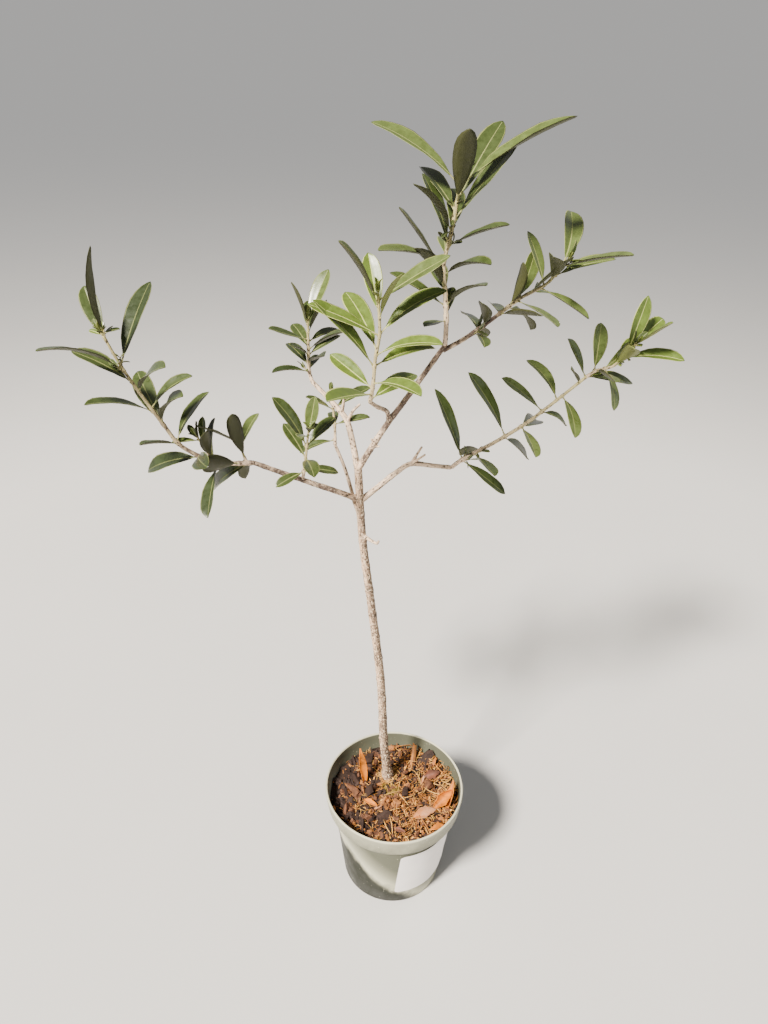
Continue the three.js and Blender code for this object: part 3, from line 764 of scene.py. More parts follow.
def bark(settings, name="bark"):
    """Bark from rough old trunk to green young stem, with painted shade, by the marks that the limb meshes
    carry.
    """
    finish = Finish(name, Roughness=0.82, IOR=1.4)
    grain = finish.mark("grain", "Vector")
    youth = finish.mark("youth")
    place = finish.place()
    age_colour = finish.ramp(youth, [
        (0.0, settings.old), (0.2, tint(settings.old, 1.12)), (0.32, settings.pale),
        (0.5, tint(settings.pale, 0.86)), (0.68, tint(mix_colours(settings.pale, settings.young, 0.6), 0.9)),
        (1.0, settings.young)])
    # Painted shade: the side away from the key light is darkened towards a dark old bark
    with_painted_shade = finish.blend(finish.times(finish.mark("painted_shade"), 0.95), age_colour, tint(settings.old, 0.32))
    patches = finish.grain(finish.scaled(place, (70, 70, 38)), 1.0, 4.0, 0.6, 0.3)
    weathered = finish.ramp(patches, [(0.44, 0.0), (0.56, 0.9)])
    grey = finish.blend(finish.times(weathered, finish.mark("weather")), with_painted_shade, settings.grey)
    streaks = finish.grain(finish.scaled(grain, (1.0, 1.0, 0.16)), 1.0, 6.0, 0.65, 0.2)
    fissures = finish.ramp(streaks, [(0.44, 1.0), (0.5, 0.0)])
    fissured = finish.ramp(youth, [(0.0, 0.85), (0.3, 0.6), (0.8, 0.25)])
    lined = finish.blend(finish.times(fissures, fissured), grey, tint(settings.grey, 0.5))
    flecks = finish.grain(finish.scaled(grain, (0.95, 0.95, 0.6)), 1.0, 3.0, 0.6)
    scale_marks = finish.ramp(flecks, [(0.54, 0.0), (0.6, 0.95)])
    rough_only = finish.ramp(youth, [(0.0, 1.0), (0.25, 0.6), (0.4, 0.25), (0.7, 0.0)])
    pale_flecks = finish.blend(finish.times(scale_marks, rough_only), lined, tint(settings.pale, 1.2))
    pores = finish.cells(finish.scaled(grain, (0.55, 0.55, 0.36)), 1.0)
    dots = finish.ramp(pores, [(0.2, 0.95), (0.34, 0.0)])
    finish.colour(finish.blend(dots, pale_flecks, tint(settings.grey, 0.42)))
    finish.gloss(finish.ramp(youth, [(0.0, 0.9), (0.5, 0.78), (1.0, 0.5)]))
    heights = finish.sum(finish.times(streaks, 0.8), finish.times(flecks, 0.7))
    finish.bump(finish.sum(heights, finish.times(pores, 0.4)), 0.9, 0.3 * MM)
    return finish.material


def mix_colours(a, b, share):
    return tuple(mix(x, y, share) for x, y in zip(tuple(a)[:3], tuple(b)[:3]))


def leaf_blade(name, colour, roughness, coat, mottling):
    """A leathery leaf surface: fine mottling, faint side veins and a waxy gloss."""
    finish = Finish(name, Roughness=roughness, IOR=1.45, Coat_Weight=coat, Coat_Roughness=0.22)
    place = finish.place()
    cloud = finish.grain(place, 260.0, 3.0, 0.6)
    blotch = finish.grain(place, 900.0, 2.0, 0.5)
    shaded = finish.blend(finish.ramp(cloud, [(0.35, 0.0), (0.68, 1.0)]),
                          tint(colour, 1.0 - mottling), tint(colour, 1.0 + mottling))
    finish.colour(finish.blend(finish.ramp(blotch, [(0.58, 0.0), (0.74, 0.3)]), shaded, tint(colour, 1.5)))
    finish.gloss(finish.ramp(cloud, [(0.3, max(roughness - 0.08, 0.2)), (0.7, roughness + 0.1)]))
    leather = finish.grain(place, 1700.0, 3.0, 0.6)
    finish.bump(finish.sum(finish.times(leather, 0.35), cloud), 0.35, 0.25 * MM)
    return finish.material


def plain_growth(name, colour, roughness):
    """Midribs and leaf stalks: one soft colour with a fine grain."""
    finish = Finish(name, Roughness=roughness, IOR=1.42)
    cloud = finish.grain(finish.place(), 500.0, 3.0, 0.6)
    finish.colour(finish.blend(cloud, tint(colour, 0.82), tint(colour, 1.18)))
    finish.bump(cloud, 0.3, 0.15 * MM)
    return finish.material


def litter(name, colour, dark, scale, roughness, bumpiness):
    """Compost, bark chips, fibres and dead leaves: a grained dry surface with darker stains."""
    finish = Finish(name, Roughness=roughness, IOR=1.4)
    place = finish.scaled(finish.place(), (scale, scale, scale))
    stain = finish.grain(place, 0.45, 4.0, 0.6)
    fibre = finish.grain(place, 2.2, 4.0, 0.65)
    ground = finish.blend(finish.ramp(stain, [(0.38, 0.0), (0.62, 1.0)]), dark, colour)
    finish.colour(finish.blend(finish.ramp(fibre, [(0.45, 0.0), (0.75, 0.6)]), ground, tint(colour, 1.5)))
    finish.bump(finish.sum(fibre, stain), 0.7, bumpiness)
    return finish.material


def floor_finish(settings):
    finish = Finish("floor", Roughness=0.7, IOR=1.4)
    place = finish.place()
    cloud = finish.grain(place, 6.0, 5.0, 0.6)
    finish.colour(finish.blend(cloud, tint(settings.floor, 0.97), tint(settings.floor, 1.03)))
    nearness = finish.reckon(1.0, finish.distance(place), "DIVIDE")
    far = finish.fade(nearness, 1 / FLOOR_FADE[0], 1 / FLOOR_FADE[1], interpolation_type="SMOOTHSTEP")
    haze = finish.node("ShaderNodeEmission", {"Color": (*tint(SKY_COLOUR, settings.horizon), 1.0)})
    joined = finish.node("ShaderNodeMixShader", {
        0: far, 1: finish.surface.outputs["BSDF"], 2: haze.outputs["Emission"]})
    finish.tree.links.new(joined.outputs[0], finish.tree.nodes["Material Output"].inputs["Surface"])
    return finish.material


# The pot and its label


def extrude_rings(rings, from_radius, from_height):
    """Draws the selected face through rings of a radius and a height, one after the other."""
    for radius, height in rings:
        rise = (0, 0, (height - from_height) * MM)
        grow = radius / from_radius
        bpy.ops.mesh.extrude_region_move(TRANSFORM_OT_translate={"value": rise})
        bpy.ops.transform.resize(value=(grow, grow, 1), center_override=(0, 0, height * MM))
        from_radius, from_height = radius, height


def make_pot(settings):
    """The pot, drawn up outside from its underside, over the rim and down inside to its floor."""
    base = POT_OUTSIDE[0][0] - 1.2
    deselect_all()
    bpy.ops.mesh.primitive_circle_add(
        vertices=settings.sides, radius=base * MM, fill_type="NGON", location=(0, 0, 0))
    pot = bpy.context.object
    rename(pot, "nursery_pot")
    bpy.ops.object.mode_set(mode="EDIT")
    bpy.ops.mesh.select_all(action="SELECT")
    extrude_rings([*POT_OUTSIDE, *POT_INSIDE], base, 0.0)
    bpy.ops.mesh.inset(thickness=3 * MM)
    bpy.ops.mesh.select_all(action="SELECT")
    bpy.ops.mesh.normals_make_consistent(inside=False)
    bpy.ops.object.mode_set(mode="OBJECT")
    warp_pot(pot, settings.wobble)
    pot.data.materials.append(pot_plastic(settings))
    only(pot)
    bpy.ops.object.shade_smooth_by_angle(angle=math.radians(50))
    return pot


def warp_pot(pot, wobble):
    """Lets the thin wall stray a little from a true round, less at its rim and foot, and dents it."""
    for vertex in pot.data.vertices:
        place = vertex.co
        radius = math.hypot(place.x, place.y)
        if radius < 1e-6:
            continue
        turn = math.atan2(place.y, place.x)
        share = min(place.z / (POT_HEIGHT * MM), 1.0)
        waves = math.sin(2 * turn + 0.6) + 0.6 * math.sin(3 * turn + 2 + 4 * share)
        swell = math.sin(share * math.pi) * waves
        beside = (turn - DENT_TURN) / DENT_HALF_TURN
        above = (place.z / MM - DENT_HEIGHT) / DENT_HALF_HEIGHT
        dent = DENT_DEPTH * MM * math.exp(-beside ** 2 - above ** 2)
        factor = 1 - (wobble * (1 + swell) * 0.5 * min(share * 6, 1.0) + dent) / radius
        place.x *= factor
        place.y *= factor


def pot_radius_at(height):
    """The outside radius of the pot's wall under its band."""
    share = (height - POT_FOOT_HEIGHT) / (POT_SHOULDER_HEIGHT - POT_FOOT_HEIGHT)
    return mix(POT_BASE_RADIUS, POT_SHOULDER_RADIUS, share)


def make_label(settings):
    """A blank paper label with round corners, bent round the pot, its lower corners just lifting."""
    deselect_all()
    bpy.ops.mesh.primitive_grid_add(x_subdivisions=72, y_subdivisions=40, size=2, location=(0, 0, 0))
    label = bpy.context.object
    rename(label, "blank_label")
    half_turn = (LABEL_TO - LABEL_FROM) / 2
    middle_turn = (LABEL_TO + LABEL_FROM) / 2
    half_width = math.radians(half_turn) * pot_radius_at(LABEL_FOOT + LABEL_HEIGHT / 2)
    for vertex in label.data.vertices:
        u, v = vertex.co.x, vertex.co.y
        from_edge = (1 - abs(v)) * LABEL_HEIGHT / 2
        cut = 0.0
        if from_edge < LABEL_CORNER:
            cut = LABEL_CORNER - math.sqrt(LABEL_CORNER ** 2 - (LABEL_CORNER - from_edge) ** 2)
        u *= (half_width - cut) / half_width
        turn = math.radians(middle_turn + u * half_turn + LABEL_LEAN * (v + 1) / 2)
        height = LABEL_FOOT + LABEL_HEIGHT * (v + 1) / 2
        lift = LABEL_LIFT_RIGHT * smooth_step(u, 0.72, 1.0) * smooth_step(-v, 0.2, 1.0)
        lift += LABEL_LIFT_LEFT * smooth_step(-u, 0.82, 1.0) * smooth_step(-v, 0.5, 1.0)
        ripple = LABEL_RIPPLE * math.sin(9 * u + 4 * v) * smooth_step(abs(v), 0.4, 1.0)
        radius = pot_radius_at(height) + LABEL_GAP + lift + ripple
        vertex.co = Vector((math.cos(turn) * radius, math.sin(turn) * radius, height)) * MM
    only(label)
    bpy.ops.object.mode_set(mode="EDIT")
    bpy.ops.mesh.select_all(action="SELECT")
    bpy.ops.mesh.normals_make_consistent(inside=False)
    bpy.ops.object.mode_set(mode="OBJECT")
    middle = label.data.polygons[len(label.data.polygons) // 2]
    if middle.normal.dot(Vector((middle.center.x, middle.center.y, 0))) < 0:
        label.data.flip_normals()
    apply_modifier(label, "SOLIDIFY", "Paper", thickness=settings.paper_thickness, offset=1.0)
    label.data.materials.append(label_paper(settings))
    only(label)
    bpy.ops.object.shade_smooth_by_angle(angle=math.radians(40))
    return label


# Trunk and boughs


def limb_radius(limb, line, share):
    """Taper, root flare and the slight swelling at each pair of old leaf scars."""
    run = share * line.length
    radius = mix(limb["foot"], limb["tip"], share)
    radius += limb.get("flare", 0.0) * math.exp(-run / FLARE_REACH)
    from_scar = abs((run + 6.0) % SCAR_STEP - SCAR_STEP / 2)
    return radius * (1 + 0.1 * math.exp(-((from_scar / SCAR_HALF_LENGTH) ** 2)))


def limb_tube(name, limb):
    """One limb as a curve of changing radius, turned into a mesh."""
    line = Line(limb["line"])
    steps = max(6, round(line.length / 1.2))
    deselect_all()
    bpy.ops.curve.primitive_nurbs_path_add(location=(0, 0, 0))
    path = bpy.context.object
    rename(path, name)
    path.data.splines.clear()
    spline = path.data.splines.new("POLY")
    spline.points.add(steps)
    for i, point in enumerate(spline.points):
        share = i / steps
        place = line.place(share)
        if name == "trunk" and i == 0:
            place = np.array(ROOT_OF_TRUNK)
        point.co = (*(place * MM), 1.0)
        point.radius = limb_radius(limb, line, share)
    path.data.bevel_depth = MM
    path.data.bevel_resolution = 6
    path.data.use_fill_caps = True
    only(path)
    bpy.ops.object.convert(target="MESH")
    return bpy.context.object


def displace(piece, name, size, strength, group):
    """Pushes the surface in and out by a cloud pattern, as far as the group's weights allow."""
    pattern = bpy.data.textures.new(name, "CLOUDS")
    pattern.noise_scale = size
    pattern.noise_depth = 3
    apply_modifier(piece, "DISPLACE", name, texture=pattern, texture_coords="LOCAL", strength=strength,
                   mid_level=0.5, vertex_group=group)


def limb_samples():
    """Places along every limb and stub, each with its direction, run, radius, youth and weather."""
    samples = []
    named = [*LIMBS.values(), *[{**stub, **STUB_BARK} for stub in STUBS]]
    for index, limb in enumerate(named):
        line = Line(limb["line"])
        steps = max(4, round(line.length / 0.7))
        for i in range(steps + 1):
            share = i / steps
            samples.append((line.place(share), line.direction(share), share * line.length + index * 137.0,
                            limb_radius(limb, line, share), mix(*limb["youth"], share), limb["weather"]))
    return samples


def mark_bark(piece):
    """Marks each point with its place on its limb, for the grain, its youth, weather and painted shade.

    Gives back how thick the limb is at each point.
    """
    samples = limb_samples()
    tree = KDTree(len(samples))
    for i, sample in enumerate(samples):
        tree.insert(Vector(sample[0]), i)
    tree.balance()
    count = len(piece.data.vertices)
    grain = np.zeros((count, 3), np.float32)
    youth, weather, thick, painted_shade = np.zeros((4, count), np.float32)
    for i, vertex in enumerate(piece.data.vertices):
        place = np.array(vertex.co) / MM
        _, nearest, _ = tree.find(Vector(place))
        middle, direction, run, radius, youth[i], weather[i] = samples[nearest]
        across, over = square_to(direction)
        offset = place - middle
        grain[i] = (offset.dot(across), offset.dot(over), run + offset.dot(direction))
        thick[i] = radius
        # Painted shade, strongest on the side away from the key light
        painted_shade[i] = smooth_step(offset.dot(SHADED_SIDE) / radius, -0.7, 0.5)
        painted_shade[i] *= mix(PAINTED_SHADE_ON_BOUGHS, 1.0, smooth_step(radius, 2.1, 2.7))
    marks = {"grain": grain, "youth": youth, "weather": weather, "painted_shade": painted_shade}
    for name, values in marks.items():
        give_mark(piece.data, name, values)
    return thick


def make_limbs(settings):
    """The trunk, boughs and stubs fused into one mesh, with lumpier bark where they are thicker."""
    tubes = [limb_tube(name, limb) for name, limb in LIMBS.items()]
    tubes += [limb_tube(f"stub_{i}", stub) for i, stub in enumerate(STUBS)]
    limbs = join_pieces(tubes, "trunk_and_boughs")
    apply_modifier(limbs, "REMESH", "Fuse", mode="VOXEL", voxel_size=settings.grain, use_smooth_shade=True)
    apply_modifier(limbs, "SMOOTH", "Soften forks", factor=0.5, iterations=3)
    thick = mark_bark(limbs)
    rough = limbs.vertex_groups.new(name="rough")
    for step in range(1, 11):
        share = step / 10
        members = np.nonzero(np.round(np.clip((thick - 0.6) / 4.0, 0.05, 1.0) * 10) == step)[0]
        rough.add(members.tolist(), share, "REPLACE")
    displace(limbs, "bark_lumps", 2.6 * MM, settings.relief, "rough")
    displace(limbs, "bark_scales", 0.9 * MM, settings.relief * 0.75, "rough")
    level_foot(limbs)
    limbs.data.materials.append(bark(settings))
    only(limbs)
    bpy.ops.object.shade_smooth()
    return limbs


def level_foot(limbs):
    """Keeps the trunk's cut foot flat and at its height."""
    foot = ROOT_OF_TRUNK[2] * MM
    for vertex in limbs.data.vertices:
        vertex.co.z = max(vertex.co.z, foot)


# Leaves and twigs


def leaves_on(shoot):
    """Each leaf's place, direction and size on its shoot, by the pair rule."""
    line = Line(shoot["line"])
    first_at = shoot["bare"] / line.length
    gaps = max(shoot["pairs"] - 1, 1)
    pair_step = (LAST_PAIR_AT - first_at) / gaps
    strays = stray_numbers(shoot["seed"], shoot["pairs"] * 2 * STRAYS_PER_LEAF)
    leaves = []
    for pair in range(shoot["pairs"]):
        share = pair / gaps
        for side in range(2):
            first = (pair * 2 + side) * STRAYS_PER_LEAF
            turn, lean, size, curl, slip = strays[first:first + STRAYS_PER_LEAF]
            at = min(max(first_at + pair_step * (pair + slip * SPREAD["slip"]), 0.0), 1.0)
            direction = line.direction(at)
            across, over = square_to(direction)
            azimuth = math.radians(shoot["phase"] + pair * QUARTER_TURN + side * 180 + turn * SPREAD["turn"])
            leaves.append({
                "root": line.place(at),
                "at": at,
                "direction": direction,
                "outward": math.cos(azimuth) * across + math.sin(azimuth) * over,
                "lean": math.radians(mix(*shoot["lean"], share) + lean * SPREAD["lean"]),
                "curl": math.radians(shoot["curl"] + curl * SPREAD["curl"]),
                "length": mix(*shoot["length"], share) * (1 + size * SPREAD["length"]),
                "sun": shoot["sun"],
                "seed": shoot["seed"] * 40 + pair * 2 + side,
                "share": share,
            })
    return leaves


def midrib_at(leaf, share):
    """A point of the leaf's midrib, with the leaf's direction, its upper side and its width there."""
    lean, bend, length = leaf["lean"], leaf["curl"], leaf["length"]
    if abs(bend) < 1e-3:
        bend = 1e-3
    angle = lean + bend * share
    along = (math.sin(angle) - math.sin(lean)) / bend
    away = (math.cos(lean) - math.cos(angle)) / bend
    place = leaf["root"] + length * (along * leaf["direction"] + away * leaf["outward"])
    axis = math.cos(angle) * leaf["direction"] + math.sin(angle) * leaf["outward"]
    upper = math.sin(angle) * leaf["direction"] - math.cos(angle) * leaf["outward"]
    upper = unit(upper + leaf["sun"] * (LEAF_LIGHT - LEAF_LIGHT.dot(axis) * axis))
    return place, axis, upper, np.cross(axis, upper)


def leaf_shape(leaf, settings):
    """A leaf as rings of points from its stalk to its point: its places, faces and kinds of face."""
    length = leaf["length"]
    full = max(length * (LEAF_WIDTH_SHARE - LEAF_SLIMMING * length) / 2, 0.3 * PETIOLE_HALF_WIDTH)
    stray = stray_numbers(leaf["seed"] + 400, 5)
    twist = math.radians(14) * stray[0]
    wave = 0.05 * stray[1]
    phase = 3.0 * stray[2]
    fold = settings.fold * (1 + 0.35 * stray[3])
    small = min(length / 20.0, 1.0)
    thick = settings.thickness / MM * mix(0.6, 1.0, small)
    stalk = PETIOLE_HALF_WIDTH * mix(0.5, 1.0, small)
    stations = [(share, stalk, 0.0) for share in PETIOLE_STATIONS]
    stations += [(share, max(width * full, stalk * 0.9), 1.0) for share, width in LEAF_OUTLINE[:-2]]
    stations += [(share, width * full, 1.0) for share, width in LEAF_OUTLINE[-2:]]
    places = []
    for share, width, bladed in stations:
        place, _, upper, across = midrib_at(leaf, share)
        angle = twist * (share - 0.2)
        upper, across = (math.cos(angle) * upper + math.sin(angle) * across,
                         math.cos(angle) * across - math.sin(angle) * upper)
        rib = min((0.34 * (1 - share) + 0.12) * mix(0.6, 1.0, small) / width, 0.4)
        body = thick if bladed else stalk * 1.7
        opened = smooth_step(share, 0.12, 0.3)

        def point(x, side):
            edge = abs(x)
            rise = width * opened * (fold * edge ** 1.3 - 0.1 * smooth_step(edge, 0.7, 1.0))
            rise += width * wave * edge ** 2 * math.sin(15 * share + phase + (2 if x > 0 else 0))
            half = body / 2 * (1 - 0.66 * edge ** 2)
            if side > 0 and edge <= rib + 1e-6:
                half -= 0.1 * opened * small
            if side < 0 and edge < 0.05:
                half += 0.2 * opened * small
            return place + width * x * across + (rise + side * half) * upper

        places += [point(x, 1) for x in (*UPPER_LEFT, -rib, rib, *UPPER_RIGHT)]
        places += [point(x, -1) for x in LOWER_SIDE]
    places.append(midrib_at(leaf, 1.0)[0])
    rings = len(stations)
    sides = len(UPPER_LEFT) + 2 + len(UPPER_RIGHT) + len(LOWER_SIDE)
    faces = ring_faces(rings, sides) + tip_faces(rings, sides) + [tuple(range(sides))[::-1]]
    tip_kinds = ["upper" if k < UPPER_STRIPS else "under" for k in range(sides)]
    blade_kinds = ["midrib" if k in PALE_STRIPS else kind for k, kind in enumerate(tip_kinds)]
    kinds = []
    for _, _, bladed in stations[:-1]:
        kinds += blade_kinds if bladed else ["stalk"] * sides
    kinds += [*tip_kinds, "stalk"]
    return places, faced_out(places, faces), kinds


# The tones of whole leaves, and the kinds of face on each
TONES = ("dark", "mature", "light", "young")
KINDS = ("upper", "midrib", "under", "stalk")


def leaf_materials(settings):
    """One material for each kind of face in each tone, in the order of TONES and then KINDS."""
    uppers = (settings.dark, settings.mature, settings.light, settings.young)
    materials = []
    for step, (tone, upper) in enumerate(zip(TONES, uppers)):
        if tone == "young":
            gloss = YOUNG_GLOSS
            rib = settings.young_midrib
            under = settings.young_underside
            stalk = tint(settings.petiole, 1.3)
        else:
            gloss = GROWN_GLOSS
            rib = tint(settings.midrib, 0.75 + 0.25 * step)
            under = tint(settings.underside, 0.8 + 0.2 * step)
            stalk = tint(settings.petiole, 0.9)
        materials.append(leaf_blade(f"leaf_upper_{tone}", upper, *gloss, 0.2))
        materials.append(plain_growth(f"leaf_midrib_{tone}", rib, 0.5))
        materials.append(leaf_blade(f"leaf_under_{tone}", under, 0.62, 0.0, 0.1))
        materials.append(plain_growth(f"leaf_stalk_{tone}", stalk, 0.55))
    return materials


def tone_of(leaf, shoot):
    """A leaf's place in TONES: young on young shoots, and else the darker the nearer to the foot."""
    chance = (stray_numbers(leaf["seed"] + 90, 1)[0] + 1) / 2
    if chance < shoot.get("youth", 0.0):
        return TONES.index("young")
    paleness = chance * 0.6 + leaf["share"] * 0.5 + shoot.get("paler", 0.0)
    if paleness < MATURE_FROM:
        return TONES.index("dark")
    return TONES.index("mature" if paleness < LIGHT_FROM else "light")


def bud_shape(root, direction, length, radius):
    """A small pointed bud."""
    sides = 6
    rings = [(-0.15, 0.5), (0.15, 0.95), (0.45, 1.0), (0.75, 0.6)]
    places = []
    for along, width in rings:
        places += ring_points(root + direction * along * length, direction, width * radius, sides)
    places.append(root + direction * length)
    faces = [tuple(range(sides))[::-1], *ring_faces(len(rings), sides), *tip_faces(len(rings), sides)]
    return places, faced_out(places, faces)


def stem_youth(shoot, share):
    """How green a shoot's stem is at a share of its length."""
    base = 0.42 if shoot.get("youth", 0.0) < 0.5 else 0.6
    return mix(base, 1.0, share ** 0.8)


def grow_stem(pile, shoot, index):
    """The shoot's stem, swollen where each pair of leaves stands."""
    line = Line(shoot["line"])
    leaves = leaves_on(shoot)
    steps = max(6, round(line.length / 1.0))
    roots = [leaf["at"] * line.length for leaf in leaves]
    places, radii, grain, youth, weather = [], [], [], [], []
    sides = 9
    for i in range(steps + 1):
        share = i / steps
        run = share * line.length
        radius = mix(shoot["foot"], shoot["tip"], share)
        knot = sum(math.exp(-(((run - root) / 0.9) ** 2)) for root in roots)
        places.append(line.place(share))
        radii.append(radius * (1 + 0.22 * min(knot, 1.3)))
    verts, faces = tube_shape(places, radii, sides)
    for i in range(steps + 1):
        share = i / steps
        for k in range(sides):
            angle = math.tau * k / sides
            grain.append((radii[i] * math.cos(angle), radii[i] * math.sin(angle),
                          share * line.length + 1500.0 + index * 91.0))
            youth.append(stem_youth(shoot, share))
            weather.append(shoot.get("weather", 0.0) * (1 - share))
    pile.add(verts, faces, 0, grain=grain, youth=youth, weather=weather)
    add_bud(pile, line.place(1.0), line.direction(1.0), 2.6, shoot["tip"] * 1.1)
    for leaf in leaves:
        aim = unit(leaf["direction"] + 0.8 * leaf["outward"])
        place = leaf["root"] + leaf["outward"] * mix(shoot["foot"], shoot["tip"], leaf["at"]) * 0.7
        add_bud(pile, place, aim, 1.5, 0.5)


def add_growth(pile, places, faces, youth):
    """Adds this year's growth, which is all of one youth and not weathered."""
    count = len(places)
    grain = [tuple(place) for place in places]
    pile.add(places, faces, 0, grain=grain, youth=[youth] * count, weather=[0.0] * count)


def add_bud(pile, root, direction, length, radius):
    add_growth(pile, *bud_shape(root, direction, length, radius), 0.95)


def add_sprig(pile, sprig):
    """A sprig's plain stem."""
    line = Line(sprig["line"])
    places = [line.place(i / 4) for i in range(5)]
    radii = [mix(sprig["foot"], sprig["tip"], i / 4) for i in range(5)]
    add_growth(pile, *tube_shape(places, radii, 6), 0.9)


def sprigs_on(shoot):
    """Finer twigs in some leaf axils and at the shoot's tip, each with a pair or two of small leaves."""
    line = Line(shoot["line"])
    youth = shoot.get("youth", 0.0)
    sprigs = []
    for leaf in leaves_on(shoot):
        stray = stray_numbers(leaf["seed"] + 700, 4)
        if stray[0] < 0.5:
            continue
        reach = 3.6 + 1.2 * stray[1]
        aim = unit(leaf["direction"] + (0.75 + 0.2 * stray[2]) * leaf["outward"])
        start = leaf["root"] + leaf["outward"] * 0.3
        middle = start + aim * reach * 0.5
        end = middle + unit(aim + 0.4 * leaf["direction"]) * reach * 0.5
        sprigs.append({"line": [start, middle, end], "foot": 0.5, "tip": 0.34, "bare": reach * 0.45,
                       "phase": 60 * stray[3], "lean": (50, 30), "length": (7, 5), "curl": 15,
                       "pairs": 2, "seed": leaf["seed"] + 31, "sun": shoot["sun"], "youth": youth})
    tip, aim = line.place(1.0), line.direction(1.0)
    sprigs.append({"line": [tip - aim * 0.5, tip + aim * 1.4, tip + aim * 3.2], "foot": 0.45, "tip": 0.32,
                   "bare": 0.8, "phase": shoot["phase"] + 45, "lean": (26, 14), "length": (10, 6),
                   "curl": 12, "pairs": 2, "seed": shoot["seed"] + 11, "sun": shoot["sun"],
                   "youth": max(youth, 0.6)})
    return sprigs


def surface_of(node):
    """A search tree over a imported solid's surface."""
    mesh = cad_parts[node].data
    return BVHTree.FromPolygons([vertex.co for vertex in mesh.vertices],
                                [tuple(polygon.vertices) for polygon in mesh.polygons])


def tries_of(leaf):
    """The leaf by its rule, and then shorter or turned on its shoot."""
    for shorter, turned in LEAF_TRIES:
        angle = math.radians(turned)
        beside = np.cross(leaf["direction"], leaf["outward"])
        outward = math.cos(angle) * leaf["outward"] + math.sin(angle) * beside
        yield {**leaf, "outward": outward, "length": leaf["length"] * shorter}


def held_by(surface, leaf):
    """Whether the mass's own solid has this leaf, since one that met a limb was changed or skipped."""
    for share in (0.45, 0.75, 0.95):
        place = midrib_at(leaf, share)[0]
        near = surface.find_nearest(Vector(place) * MM)
        if near[0] is None or near[3] > HELD_WITHIN * MM:
            return False
    return True


def clear_of(leaf, surfaces, gap):
    """Whether a small leaf stays clear of the given surfaces."""
    for share in (0.4, 0.7, 1.0):
        place = Vector(midrib_at(leaf, share)[0]) * MM
        for surface in surfaces:
            near = surface.find_nearest(place, gap * MM)
            if near[0] is not None:
                return False
    return True


def inside_reach(place):
    """Whether a point keeps to the part's own box."""
    point = Vector(place) * MM
    return all(CAD_LOW[i] <= point[i] <= CAD_HIGH[i] for i in range(3))


def add_leaf(pile, leaf, shoot, settings):
    tone = tone_of(leaf, shoot)
    places, faces, kinds = leaf_shape(leaf, settings)
    slots = [tone * len(KINDS) + KINDS.index(kind) for kind in kinds]
    pile.add(places, faces, slots)


def make_foliage(settings, bark_settings):
    """For each mass one piece of twigs and one of leaves."""
    leaf_finishes = leaf_materials(settings)
    stem_finish = bark(bark_settings, "young_bark")
    limb_surfaces = [surface_of(name) for name in LIMBS]
    made = []
    for index, (node, shoots) in enumerate(MASSES.items()):
        surface = surface_of(node)
        twigs = MeshPile([stem_finish])
        leaves = MeshPile(leaf_finishes)
        for number, shoot in enumerate(shoots):
            grow_stem(twigs, shoot, index * 4 + number)
            for leaf in leaves_on(shoot):
                held = next((tried for tried in tries_of(leaf) if held_by(surface, tried)), None)
                if held:
                    add_leaf(leaves, held, shoot, settings)
            for sprig in sprigs_on(shoot):
                small = [leaf for leaf in leaves_on(sprig) if clear_of(leaf, limb_surfaces, SPRIG_LEAF_GAP)
                         and inside_reach(midrib_at(leaf, 1.0)[0])]
                if small:
                    add_sprig(twigs, sprig)
                for leaf in small:
                    add_leaf(leaves, leaf, sprig, settings)
        short = node.replace("leaves_", "")
        made.append((twigs.piece(f"{short}_twigs"), node))
        made.append((leaves.piece(f"{short}_foliage"), node))
    return made


# Compost and the litter on it


def compost_height(x, y):
    """The compost's surface as in the part's solid, level round the trunk's foot."""
    tilt = 0.045 * x - 0.015 * y
    lumps = math.sin(x * 0.31 + 1) * math.cos(y * 0.27) + 0.7 * math.sin(x * 0.17 - y * 0.36)
    from_trunk = math.hypot(x - ROOT_OF_TRUNK[0], y - ROOT_OF_TRUNK[1])
    return COMPOST_LEVEL + (tilt + lumps) * smooth_step(from_trunk, 7, 16)


def soil_height(x, y):
    """The compost's surface with its crumbs."""
    crumbs = noise.fractal(Vector((x * 0.21, y * 0.21, 3.0)), 0.9, 2.2, 4)
    fine = noise.noise(Vector((x * 1.1, y * 1.1, 9.0)))
    from_trunk = math.hypot(x - ROOT_OF_TRUNK[0], y - ROOT_OF_TRUNK[1])
    return compost_height(x, y) + (1.2 * crumbs + 0.35 * fine) * smooth_step(from_trunk, 3, 9) - 0.6


def make_soil(settings):
    """The root ball: up the pot's inside wall, then rings in towards its middle with the crumbs' relief."""
    wall = [(radius - 1.0, height) for radius, height in POT_INSIDE[::-1] if height < 79]
    wall[0] = (wall[0][0], POT_FLOOR + 0.3)
    wall.append((50.9, COMPOST_LEVEL - 2.0))
    deselect_all()
    bpy.ops.mesh.primitive_circle_add(
        vertices=132, radius=wall[0][0] * MM, fill_type="NGON", location=(0, 0, wall[0][1] * MM))
    soil = bpy.context.object
    rename(soil, "compost_soil")
    bpy.ops.object.mode_set(mode="EDIT")
    bpy.ops.mesh.select_all(action="SELECT")
    extrude_rings(wall[1:], *wall[0])
    for _ in range(46):
        bpy.ops.mesh.inset(thickness=1.08 * MM, use_even_offset=False)
    bpy.ops.mesh.select_all(action="SELECT")
    bpy.ops.mesh.normals_make_consistent(inside=False)
    bpy.ops.object.mode_set(mode="OBJECT")
    top = (COMPOST_LEVEL - 2.1) * MM
    for vertex in soil.data.vertices:
        if vertex.co.z > top:
            vertex.co.z = soil_height(vertex.co.x / MM, vertex.co.y / MM) * MM
    soil.data.materials.append(litter("moist_compost", tint(settings.soil, 1.6), settings.soil,
                                      scale=500, roughness=0.95, bumpiness=0.9 * MM))
    only(soil)
    bpy.ops.object.shade_smooth()
    return soil


